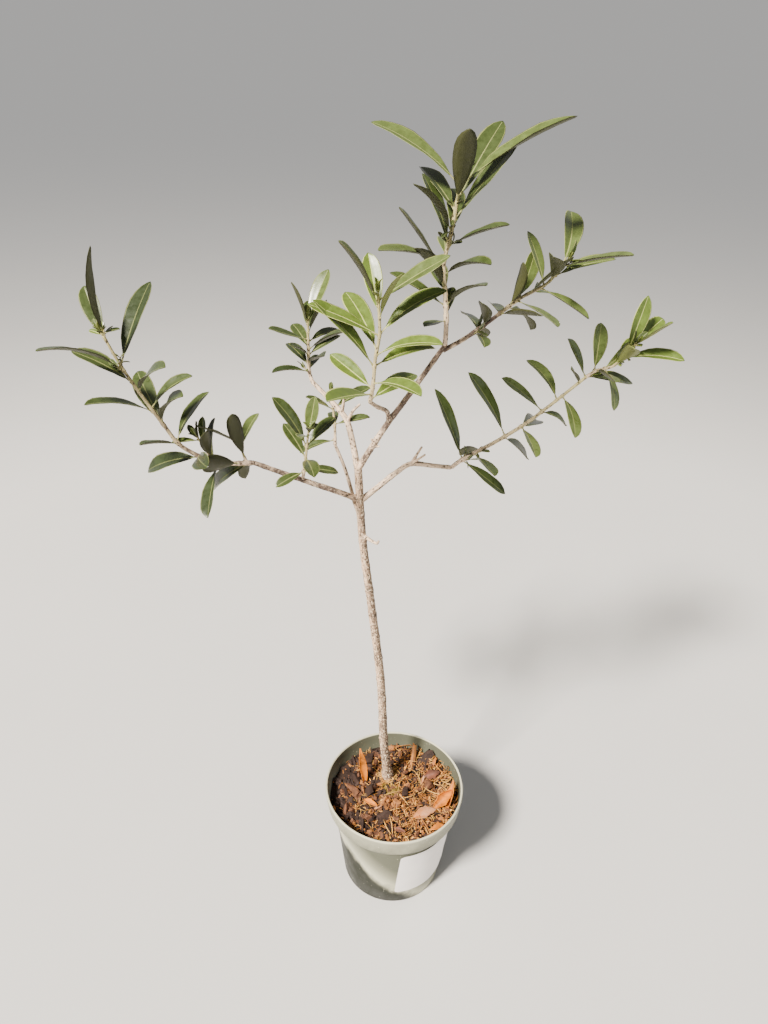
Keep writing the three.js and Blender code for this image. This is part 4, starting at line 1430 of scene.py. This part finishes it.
def chip_model(seed):
    """One broken chip of bark, a unit block split and roughened, to be copied.

    The seed is set because noise_vector would else start from the clock.
    """
    deselect_all()
    bpy.ops.mesh.primitive_cube_add(size=1, location=(0, 0, 0))
    chip = bpy.context.object
    bpy.ops.object.mode_set(mode="EDIT")
    bpy.ops.mesh.select_all(action="SELECT")
    bpy.ops.mesh.subdivide(number_cuts=2)
    bpy.ops.mesh.bisect(plane_co=(0.32, 0, 0.1), plane_no=(0.9, 0.25 - 0.5 * (seed % 2), 0.4), use_fill=True,
                        clear_outer=True)
    bpy.ops.mesh.select_all(action="SELECT")
    bpy.ops.mesh.bisect(plane_co=(-0.3, 0, -0.1), plane_no=(-0.8, 0.35, -0.3 + 0.1 * seed), use_fill=True,
                        clear_outer=True)
    bpy.ops.object.mode_set(mode="OBJECT")
    noise.seed_set(seed + 1)
    for vertex in chip.data.vertices:
        shift = noise.noise_vector(vertex.co * 2.3 + Vector((seed * 7.0, 0, 0)))
        vertex.co += shift * 0.16
    places = [np.array(vertex.co) for vertex in chip.data.vertices]
    faces = [tuple(polygon.vertices) for polygon in chip.data.polygons]
    bpy.data.objects.remove(chip)
    return places, faces


def turned(places, size, turn, tilt, roll, at):
    """Copies of a model's points, sized, tilted, turned and moved."""
    spin = (Matrix.Rotation(turn, 3, "Z") @ Matrix.Rotation(tilt, 3, "X") @ Matrix.Rotation(roll, 3, "Y"))
    grid = np.array(spin)
    return [grid @ (np.array(place) * np.array(size)) + np.array(at) for place in places]


def inside_pot(places, clearance=0.6):
    """Pulls points in so that none passes through the pot's wall."""
    kept = []
    for place in places:
        height = place[2]
        wall = np.interp(height, INSIDE_HEIGHTS, INSIDE_RADII) - clearance
        reach = math.hypot(place[0], place[1])
        factor = min(1.0, wall / max(reach, 1e-6))
        kept.append(np.array([place[0] * factor, place[1] * factor, height]))
    return kept


def near_trunk(x, y, gap):
    return math.hypot(x - ROOT_OF_TRUNK[0], y - ROOT_OF_TRUNK[1]) < gap


def scattered(dice, reach):
    """A place picked evenly within a reach of the pot's middle."""
    angle = dice.uniform(0, math.tau)
    radius = reach * math.sqrt(dice.random())
    return math.cos(angle) * radius, math.sin(angle) * radius


# Larger things that lie on the compost: a place, size, turn and tilt in millimetres and degrees
BIG_CHIPS = [
    {"at": (-33, 3, 0.5), "size": (7, 6, 17), "turn": 30, "tilt": 70, "bark": 1},
    {"at": (-21, 35, 0), "size": (12, 8, 9), "turn": 15, "tilt": 20, "bark": 0},
    {"at": (-33, 15, 0), "size": (10, 8, 8), "turn": 70, "tilt": 35, "bark": 0},
    {"at": (-20, 1, 0.5), "size": (9, 7, 8), "turn": 40, "tilt": 25, "bark": 0},
    {"at": (-7, -22, 0.5), "size": (9, 7, 10), "turn": 110, "tilt": 60, "bark": 0},
    {"at": (9, 0, 0.5), "size": (8, 7, 7), "turn": 20, "tilt": 15, "bark": 0},
    {"at": (-38, -19, 0.5), "size": (5, 3.5, 13), "turn": 160, "tilt": 66, "bark": 1},
    {"at": (0, -9, 1.0), "size": (6, 3.5, 13), "turn": 25, "tilt": 66, "bark": 2},
    {"at": (26, 36, 1.0), "size": (10, 4, 16), "turn": 120, "tilt": 58, "bark": 0},
    {"at": (10, 20, 1), "size": (5, 3.5, 14), "turn": -30, "tilt": 40, "bark": 1},
    {"at": (27, 9, 0.5), "size": (8, 5, 12), "turn": 20, "tilt": 60, "bark": 1},
    {"at": (16, 33, 1.5), "size": (3.5, 2.4, 24), "turn": 150, "tilt": 48, "bark": 2},
]


def make_chips(settings):
    """Larger chips as listed, smaller ones scattered among them, and small dry flakes."""
    finishes = [
        litter("bark_dark", settings.dark_bark, tint(settings.dark_bark, 0.45), 380, 0.8, 0.5 * MM),
        litter("bark_brown", settings.brown_bark, tint(settings.brown_bark, 0.4), 420, 0.82, 0.4 * MM),
        litter("bark_tan", mix_colours(settings.brown_bark, settings.tan_fibre, 0.7),
               settings.brown_bark, 460, 0.8, 0.35 * MM),
        litter("bark_straw", settings.straw, settings.tan_fibre, 460, 0.8, 0.3 * MM),
    ]
    models = [chip_model(seed) for seed in range(4)]
    pile = MeshPile(finishes)
    for i, chip in enumerate(BIG_CHIPS):
        x, y, up = chip["at"]
        width, depth, tall = chip["size"]
        places, faces = models[i % 4]
        shaped = turned(places, (width, depth, tall), math.radians(chip["turn"]), math.radians(chip["tilt"]),
                        0.3, (x, y, compost_height(x, y) + up))
        pile.add(inside_pot(shaped), faces, chip["bark"])
    dice = random.Random(11)
    for i in range(settings.chips):
        x, y = scattered(dice, CHIP_REACH)
        if near_trunk(x, y, 6.5):
            continue
        small = dice.uniform(1.6, 5.0) * (0.75 if x > 0 else 1.15)
        size = np.array([dice.uniform(0.5, 1.0), dice.uniform(0.35, 0.7), dice.uniform(1.0, 2.2)]) * small
        # Chips darker towards the pot's left: partly the dark chips there, partly painted shade from the
        # pot's wall
        darkness = 0.5 + 0.3 * noise.noise(Vector((x * 0.05, y * 0.05, 4.0))) - 0.006 * x
        kind = 0 if dice.random() < darkness else (1 if dice.random() < 0.6 else 2)
        places, faces = models[i % 4]
        at = (x, y, soil_height(x, y) + small * 0.12)
        shaped = turned(places, size, dice.uniform(0, math.tau), dice.uniform(0.6, 2.4),
                        dice.uniform(-0.5, 0.5), at)
        pile.add(inside_pot(shaped), faces, kind)
    for i in range(settings.flakes):
        x, y = scattered(dice, LITTER_REACH)
        thickly = 0.6 + 0.6 * noise.noise(Vector((x * 0.06, y * 0.06, 1.0))) + 0.008 * x - 0.003 * y
        if near_trunk(x, y, 4.5) or dice.random() > thickly:
            continue
        small = dice.uniform(0.8, 2.2)
        places, faces = models[i % 4]
        at = (x, y, soil_height(x, y) + small * 0.4)
        shaped = turned(places, (small * 0.8, small * 0.35, small * 1.5), dice.uniform(0, math.tau),
                        dice.uniform(0.2, 2.9), dice.uniform(-0.8, 0.8), at)
        pile.add(inside_pot(shaped), faces, dice.choices((1, 2, 3), (0.3, 0.45, 0.25))[0])
    piece = pile.piece("bark_chips")
    only(piece)
    bpy.ops.object.shade_smooth_by_angle(angle=math.radians(35))
    return piece


def make_fibres(settings):
    """Loose fibres and long straws, thickest over the right of the compost, and tufts by the trunk."""
    finishes = [
        litter("fibre_tan", settings.tan_fibre, tint(settings.tan_fibre, 0.45), 300, 0.75, 0.1 * MM),
        litter("fibre_straw", settings.straw, tint(settings.straw, 0.6), 300, 0.7, 0.1 * MM),
        litter("fibre_brown", settings.brown_bark, tint(settings.brown_bark, 0.4), 300, 0.8, 0.1 * MM),
        litter("moss_tuft", settings.moss, tint(settings.moss, 0.4), 300, 0.8, 0.1 * MM),
    ]
    pile = MeshPile(finishes)
    dice = random.Random(23)
    for _ in range(settings.fibres):
        x, y = scattered(dice, LITTER_REACH)
        thickly = 0.5 + 1.1 * noise.noise(Vector((x * 0.1, y * 0.1, 1.0))) + 0.009 * x - 0.004 * y
        if near_trunk(x, y, 5.5) or dice.random() > thickly + 0.15:
            continue
        kind = dice.choices((0, 1, 2), (0.5, 0.34, 0.16))[0]
        add_fibre(pile, dice, x, y, kind, dice.uniform(2.5, 9.0), dice.uniform(0.14, 0.32), 0.8)
    for _ in range(LONG_STRAWS):
        x, y = scattered(dice, STRAW_REACH)
        if not near_trunk(x, y, 9) and dice.random() < 0.5 + 0.012 * x:
            kind = dice.choices((0, 1), (0.4, 0.6))[0]
            add_fibre(pile, dice, x, y, kind, dice.uniform(9, 18), dice.uniform(0.25, 0.5), 0.5)
    for _ in range(FOOT_FIBRES):
        around = dice.uniform(0, math.tau)
        out = dice.uniform(4.4, 7.5)
        x, y = ROOT_OF_TRUNK[0] + out * math.cos(around), ROOT_OF_TRUNK[1] + out * math.sin(around)
        add_fibre(pile, dice, x, y, 1, dice.uniform(2.0, 4.5), dice.uniform(0.16, 0.3), 2.6)
    for _ in range(MOSS_FIBRES):
        x = ROOT_OF_TRUNK[0] + 3.0 + dice.gauss(0, 4.0)
        y = ROOT_OF_TRUNK[1] - 15.0 + dice.gauss(0, 4.0)
        add_fibre(pile, dice, x, y, 3, dice.uniform(1.6, 3.6), dice.uniform(0.16, 0.28), 1.3)
    return pile.piece("compost_fibres")


def add_fibre(pile, dice, x, y, kind, length, thick, lift):
    """One thin curved fibre that starts on the compost and may rise from it by the lift."""
    heading = dice.uniform(0, math.tau)
    bend = dice.uniform(-1.1, 1.1)
    rise = dice.uniform(-0.1, 0.75) * lift
    steps = 4
    place = np.array([x, y, soil_height(x, y) + thick + 0.2])
    places = [place]
    for i in range(steps):
        heading += bend / steps
        climb = rise * (1 - 1.5 * i / steps)
        step = unit(np.array([math.cos(heading), math.sin(heading), climb])) * length / steps
        place = place + step
        ground = soil_height(place[0], place[1]) + thick * 0.6
        place = np.array([place[0], place[1], max(place[2], ground)])
        places.append(place)
    radii = [thick, thick, thick * 0.9, thick * 0.8, thick * 0.4]
    verts, faces = tube_shape(inside_pot(places, 1.0), radii, 4)
    pile.add(inside_pot(verts), faces, kind)


# Fallen leaves and slivers on the compost, each bent along and across
DRY_LEAVES = [
    {"foot": (-22.8, 12.3, -2.0), "tip": (-28.0, 18.0, 31.5), "width": 7.0, "cup": 0.5, "bow": 1.5,
     "face": (0.2, -1.0, 0.15), "kind": 0},
    {"foot": (31.0, -15.5, 0.6), "tip": (46.5, -2.5, 6.0), "width": 9.5, "cup": 0.9, "bow": 2.5,
     "face": (-0.3, -0.75, 0.6), "kind": 0},
    {"foot": (42.0, -17.0, 0.4), "tip": (47.5, 3.0, 11.0), "width": 9.0, "cup": 0.7, "bow": -2.0,
     "face": (-0.85, -0.4, 0.45), "kind": 0},
    {"foot": (15.0, -23.0, 1.2), "tip": (33.0, -17.5, 2.6), "width": 8.5, "cup": 0.5, "bow": 2.2,
     "face": (-0.1, -0.5, 1.0), "kind": 1},
    {"foot": (24.5, 14.0, 1.6), "tip": (38.0, 19.0, 3.2), "width": 8.0, "cup": 0.5, "bow": 1.5,
     "face": (0.0, -0.4, 1.0), "kind": 2},
    {"foot": (22.5, 9.0, 0.8), "tip": (24.5, 12.5, 7.0), "width": 2.2, "cup": 0.2, "bow": 0.4,
     "face": (-0.2, -0.8, 0.4), "kind": 1},
    {"foot": (-15.5, -16.0, 1.0), "tip": (-9.0, -14.0, 2.2), "width": 2.0, "cup": 0.2, "bow": 0.3,
     "face": (0.0, -0.3, 1.0), "kind": 1},
    {"foot": (-24.0, -6.0, 0.6), "tip": (-13.0, -14.0, 2.0), "width": 4.5, "cup": 0.4, "bow": 0.8,
     "face": (0.0, -0.3, 1.0), "kind": 0},
    {"foot": (39.0, -30.0, 0.6), "tip": (28.0, -36.0, 2.2), "width": 5.5, "cup": 0.4, "bow": 1.0,
     "face": (0.0, -0.2, 1.0), "kind": 0},
    {"foot": (-1.5, -33.0, 0.4), "tip": (9.0, -38.0, 1.8), "width": 4.0, "cup": 0.4, "bow": 0.8,
     "face": (0.0, -0.3, 1.0), "kind": 2},
    {"foot": (33.0, 27.0, 1.0), "tip": (34.5, 30.0, 7.0), "width": 3.0, "cup": 0.3, "bow": 0.6,
     "face": (-0.3, -0.8, 0.5), "kind": 1},
]


def make_dry_leaves(settings):
    finishes = [
        litter("dry_leaf", settings.dry_leaf, tint(settings.dry_leaf, 0.45), 160, 0.6, 0.25 * MM),
        litter("pale_flake", (0.44, 0.22, 0.12), tint(settings.dry_leaf, 0.6), 200, 0.65, 0.25 * MM),
        litter("brown_leaf", (0.19, 0.066, 0.036), (0.07, 0.03, 0.02), 170, 0.6, 0.25 * MM),
    ]
    sheets = []
    for i, spec in enumerate(DRY_LEAVES):
        deselect_all()
        bpy.ops.mesh.primitive_grid_add(x_subdivisions=10, y_subdivisions=22, size=2, location=(0, 0, 0))
        sheet = bpy.context.object
        rename(sheet, f"dry_leaf_{i}")
        shape_dry_leaf(sheet, spec, i)
        apply_modifier(sheet, "SOLIDIFY", "Blade", thickness=0.45 * MM, offset=0.0)
        sheet.data.materials.append(finishes[spec["kind"]])
        only(sheet)
        bpy.ops.object.shade_smooth_by_angle(angle=math.radians(45))
        sheets.append(sheet)
    return join_pieces(sheets, "dry_leaves")


def shape_dry_leaf(sheet, spec, seed):
    """Bends a flat grid into a narrow curled leaf between its foot and its tip."""
    ends = []
    for key in ("foot", "tip"):
        x, y, up = spec[key]
        ends.append(np.array([x, y, compost_height(x, y) + up]))
    axis = ends[1] - ends[0]
    long = unit(axis)
    upper = np.array(spec["face"], float)
    upper = unit(upper - upper.dot(long) * long)
    across = np.cross(long, upper)
    for vertex in sheet.data.vertices:
        x, share = vertex.co.x, (vertex.co.y + 1) / 2
        outline = max(math.sin(math.pi * share ** 0.9) ** 0.8, 0.06) if 0 < share < 1 else 0.06
        ripple = noise.noise(Vector((x * 1.3, share * 3.1, seed * 5.0)))
        torn = noise.noise(Vector((math.copysign(1.0, x) * 4.0, share * 9.0, seed * 3.0)))
        width = spec["width"] / 2 * outline * (1 + 0.25 * ripple + 0.3 * torn * x * x)
        bend = spec["cup"] * width * (x * x) + spec["bow"] * math.sin(math.pi * share) + 0.5 * ripple
        place = ends[0] + axis * share + across * width * x * (1 - 0.12 * abs(x)) + upper * bend
        vertex.co = Vector(inside_pot([place], 0.9)[0]) * MM


# Floor, lights and camera

# The camera was solved from the photograph: its focal length in pixels, the pixel that all upright
# lines run down to, in the photograph's frame of 768 by 1024, and its place in millimetres
FRAME_WIDTH = 768
FRAME_HEIGHT = 1024
FOCAL_PIXELS = 765.0
UPRIGHTS_MEET_AT = (352.0, 1800.0)
CAMERA_PLACE = (-13.52, -414.76, 592.57)
SENSOR = 36.0

# The floor, in metres. It fades into the sky between these distances, so that no edge shows.
FLOOR_RADIUS = 60.0
FLOOR_FADE = (0.8, 14.0)
SKY_COLOUR = (1.0, 0.985, 0.965)


def camera_axes():
    """The camera's right, up and back directions in the part's frame."""
    down = unit(np.array([(UPRIGHTS_MEET_AT[0] - FRAME_WIDTH / 2) / FOCAL_PIXELS,
                          (UPRIGHTS_MEET_AT[1] - FRAME_HEIGHT / 2) / FOCAL_PIXELS, 1.0]))
    up = -down
    ahead = np.array([0.0, 0.0, 1.0])
    heading = unit(ahead - ahead.dot(up) * up)
    side = np.cross(heading, up)
    to_part = np.array([side, heading, up])
    return to_part @ np.array([1.0, 0, 0]), -(to_part @ np.array([0, 1.0, 0])), -(to_part @ ahead)


def add_camera():
    deselect_all()
    bpy.ops.object.camera_add()
    camera = bpy.context.object
    rename(camera, "camera")
    right, up, back = camera_axes()
    turn = Matrix((right, up, back)).transposed().to_4x4()
    turn.translation = Vector(CAMERA_PLACE) * MM
    camera.matrix_world = turn
    camera.data.sensor_fit = "VERTICAL"
    camera.data.sensor_height = SENSOR
    camera.data.sensor_width = SENSOR
    camera.data.lens = SENSOR * FOCAL_PIXELS / FRAME_HEIGHT
    camera.data.clip_start = 0.02
    camera.data.clip_end = 200.0
    bpy.context.scene.camera = camera


def add_light(name, power, place, size, colour):
    deselect_all()
    bpy.ops.object.light_add(type="AREA", location=place)
    light = bpy.context.object
    rename(light, name)
    light.data.shape = "DISK"
    light.data.size = size
    light.data.energy = power
    light.data.color = colour
    light.rotation_euler = (Vector(LIGHTS_AIM) - Vector(place)).to_track_quat("-Z", "Y").to_euler()


def add_floor(settings):
    deselect_all()
    bpy.ops.mesh.primitive_circle_add(vertices=96, radius=FLOOR_RADIUS, fill_type="NGON", location=(0, 0, 0))
    floor = bpy.context.object
    rename(floor, "floor")
    bpy.ops.object.mode_set(mode="EDIT")
    bpy.ops.mesh.select_all(action="SELECT")
    for share in (0.5, 0.4, 0.08):
        bpy.ops.mesh.inset(thickness=FLOOR_RADIUS * share)
    bpy.ops.object.mode_set(mode="OBJECT")
    floor.location = (0, 0, -0.05 * MM)
    floor.data.materials.append(floor_finish(settings))
    bpy.ops.object.transform_apply(location=True, rotation=True, scale=True)


def set_sky(settings):
    """Even light that fades from the horizon's strength to the sky's overhead."""
    world = bpy.data.worlds.new("sky")
    world.use_nodes = True
    background = world.node_tree.nodes["Background"]
    tree = world.node_tree
    direction = tree.nodes.new("ShaderNodeTexCoord").outputs["Generated"]
    parts = tree.nodes.new("ShaderNodeSeparateXYZ")
    fade = tree.nodes.new("ShaderNodeValToRGB")
    stops = fade.color_ramp.elements
    stops[0].position, stops[1].position = 0.1, 0.5
    for stop, strength in zip(stops, (settings.horizon, settings.sky)):
        stop.color = (*tint(SKY_COLOUR, strength), 1.0)
    tree.links.new(direction, parts.inputs["Vector"])
    tree.links.new(parts.outputs["Z"], fade.inputs["Fac"])
    tree.links.new(fade.outputs["Color"], background.inputs["Color"])
    bpy.context.scene.world = world


# Operators, one for each piece or group of like pieces and one for the stage


class OLIVE_OT_pot(bpy.types.Operator):
    """Mould the nursery pot"""
    bl_idname = "olive.pot"
    bl_label = "Pot"

    def execute(self, context):
        settle(make_pot(context.scene.olive_tree.pot), "pot_plastic", "pot")
        return {"FINISHED"}


class OLIVE_OT_label(bpy.types.Operator):
    """Stick the blank label to the pot"""
    bl_idname = "olive.label"
    bl_label = "Label"

    def execute(self, context):
        settle(make_label(context.scene.olive_tree.pot), "label_paper", "label")
        return {"FINISHED"}


class OLIVE_OT_compost(bpy.types.Operator):
    """Fill the pot with compost, bark chips, fibres and dry leaves"""
    bl_idname = "olive.compost"
    bl_label = "Compost"

    def execute(self, context):
        settings = context.scene.olive_tree.compost
        for make in (make_soil, make_chips, make_fibres, make_dry_leaves):
            settle(make(settings), "compost", "compost")
        return {"FINISHED"}


class OLIVE_OT_limbs(bpy.types.Operator):
    """Grow the trunk, the boughs and their dead stubs"""
    bl_idname = "olive.limbs"
    bl_label = "Trunk and boughs"

    def execute(self, context):
        settle(make_limbs(context.scene.olive_tree.bark), "bark", *LIMBS)
        return {"FINISHED"}


class OLIVE_OT_foliage(bpy.types.Operator):
    """Grow the twigs and leaves of every mass"""
    bl_idname = "olive.foliage"
    bl_label = "Twigs and leaves"

    def execute(self, context):
        settings = context.scene.olive_tree
        for piece, node in make_foliage(settings.leaf, settings.bark):
            settle(piece, "foliage", node)
        return {"FINISHED"}


class OLIVE_OT_stage(bpy.types.Operator):
    """Set out the floor, the lights and the camera"""
    bl_idname = "olive.stage"
    bl_label = "Stage"

    def execute(self, context):
        settings = context.scene.olive_tree.stage
        add_floor(settings)
        set_sky(settings)
        add_light("key_light", settings.key_power, **KEY_LIGHT)
        add_light("fill_light", settings.fill_power, **FILL_LIGHT)
        add_camera()
        return {"FINISHED"}


class OLIVE_PT_panel(bpy.types.Panel):
    """Steps and settings of the potted olive tree"""
    bl_idname = "OLIVE_PT_panel"
    bl_label = "Olive tree"
    bl_space_type = "VIEW_3D"
    bl_region_type = "UI"
    bl_category = "Olive tree"

    def draw(self, context):
        for step in STEPS:
            self.layout.operator(step.bl_idname)
        settings = context.scene.olive_tree
        for group in ("pot", "bark", "leaf", "compost", "stage"):
            box = self.layout.box()
            box.label(text=group.capitalize())
            values = getattr(settings, group)
            for key in values.__annotations__:
                box.prop(values, key)


STEPS = (OLIVE_OT_pot, OLIVE_OT_label, OLIVE_OT_compost, OLIVE_OT_limbs, OLIVE_OT_foliage, OLIVE_OT_stage)
CLASSES = (PotSettings, BarkSettings, LeafSettings, CompostSettings, StageSettings, OliveTreeSettings,
           *STEPS, OLIVE_PT_panel)


def register():
    for cls in CLASSES:
        bpy.utils.register_class(cls)
    bpy.types.Scene.olive_tree = bpy.props.PointerProperty(
        type=OliveTreeSettings, name="Olive tree", description="Settings of the potted olive tree")


def unregister():
    del bpy.types.Scene.olive_tree
    for cls in reversed(CLASSES):
        bpy.utils.unregister_class(cls)


def main():
    register()
    bpy.ops.olive.pot()
    bpy.ops.olive.label()
    bpy.ops.olive.compost()
    bpy.ops.olive.limbs()
    bpy.ops.olive.foliage()
    bpy.ops.olive.stage()


if __name__ == "__main__":
    main()
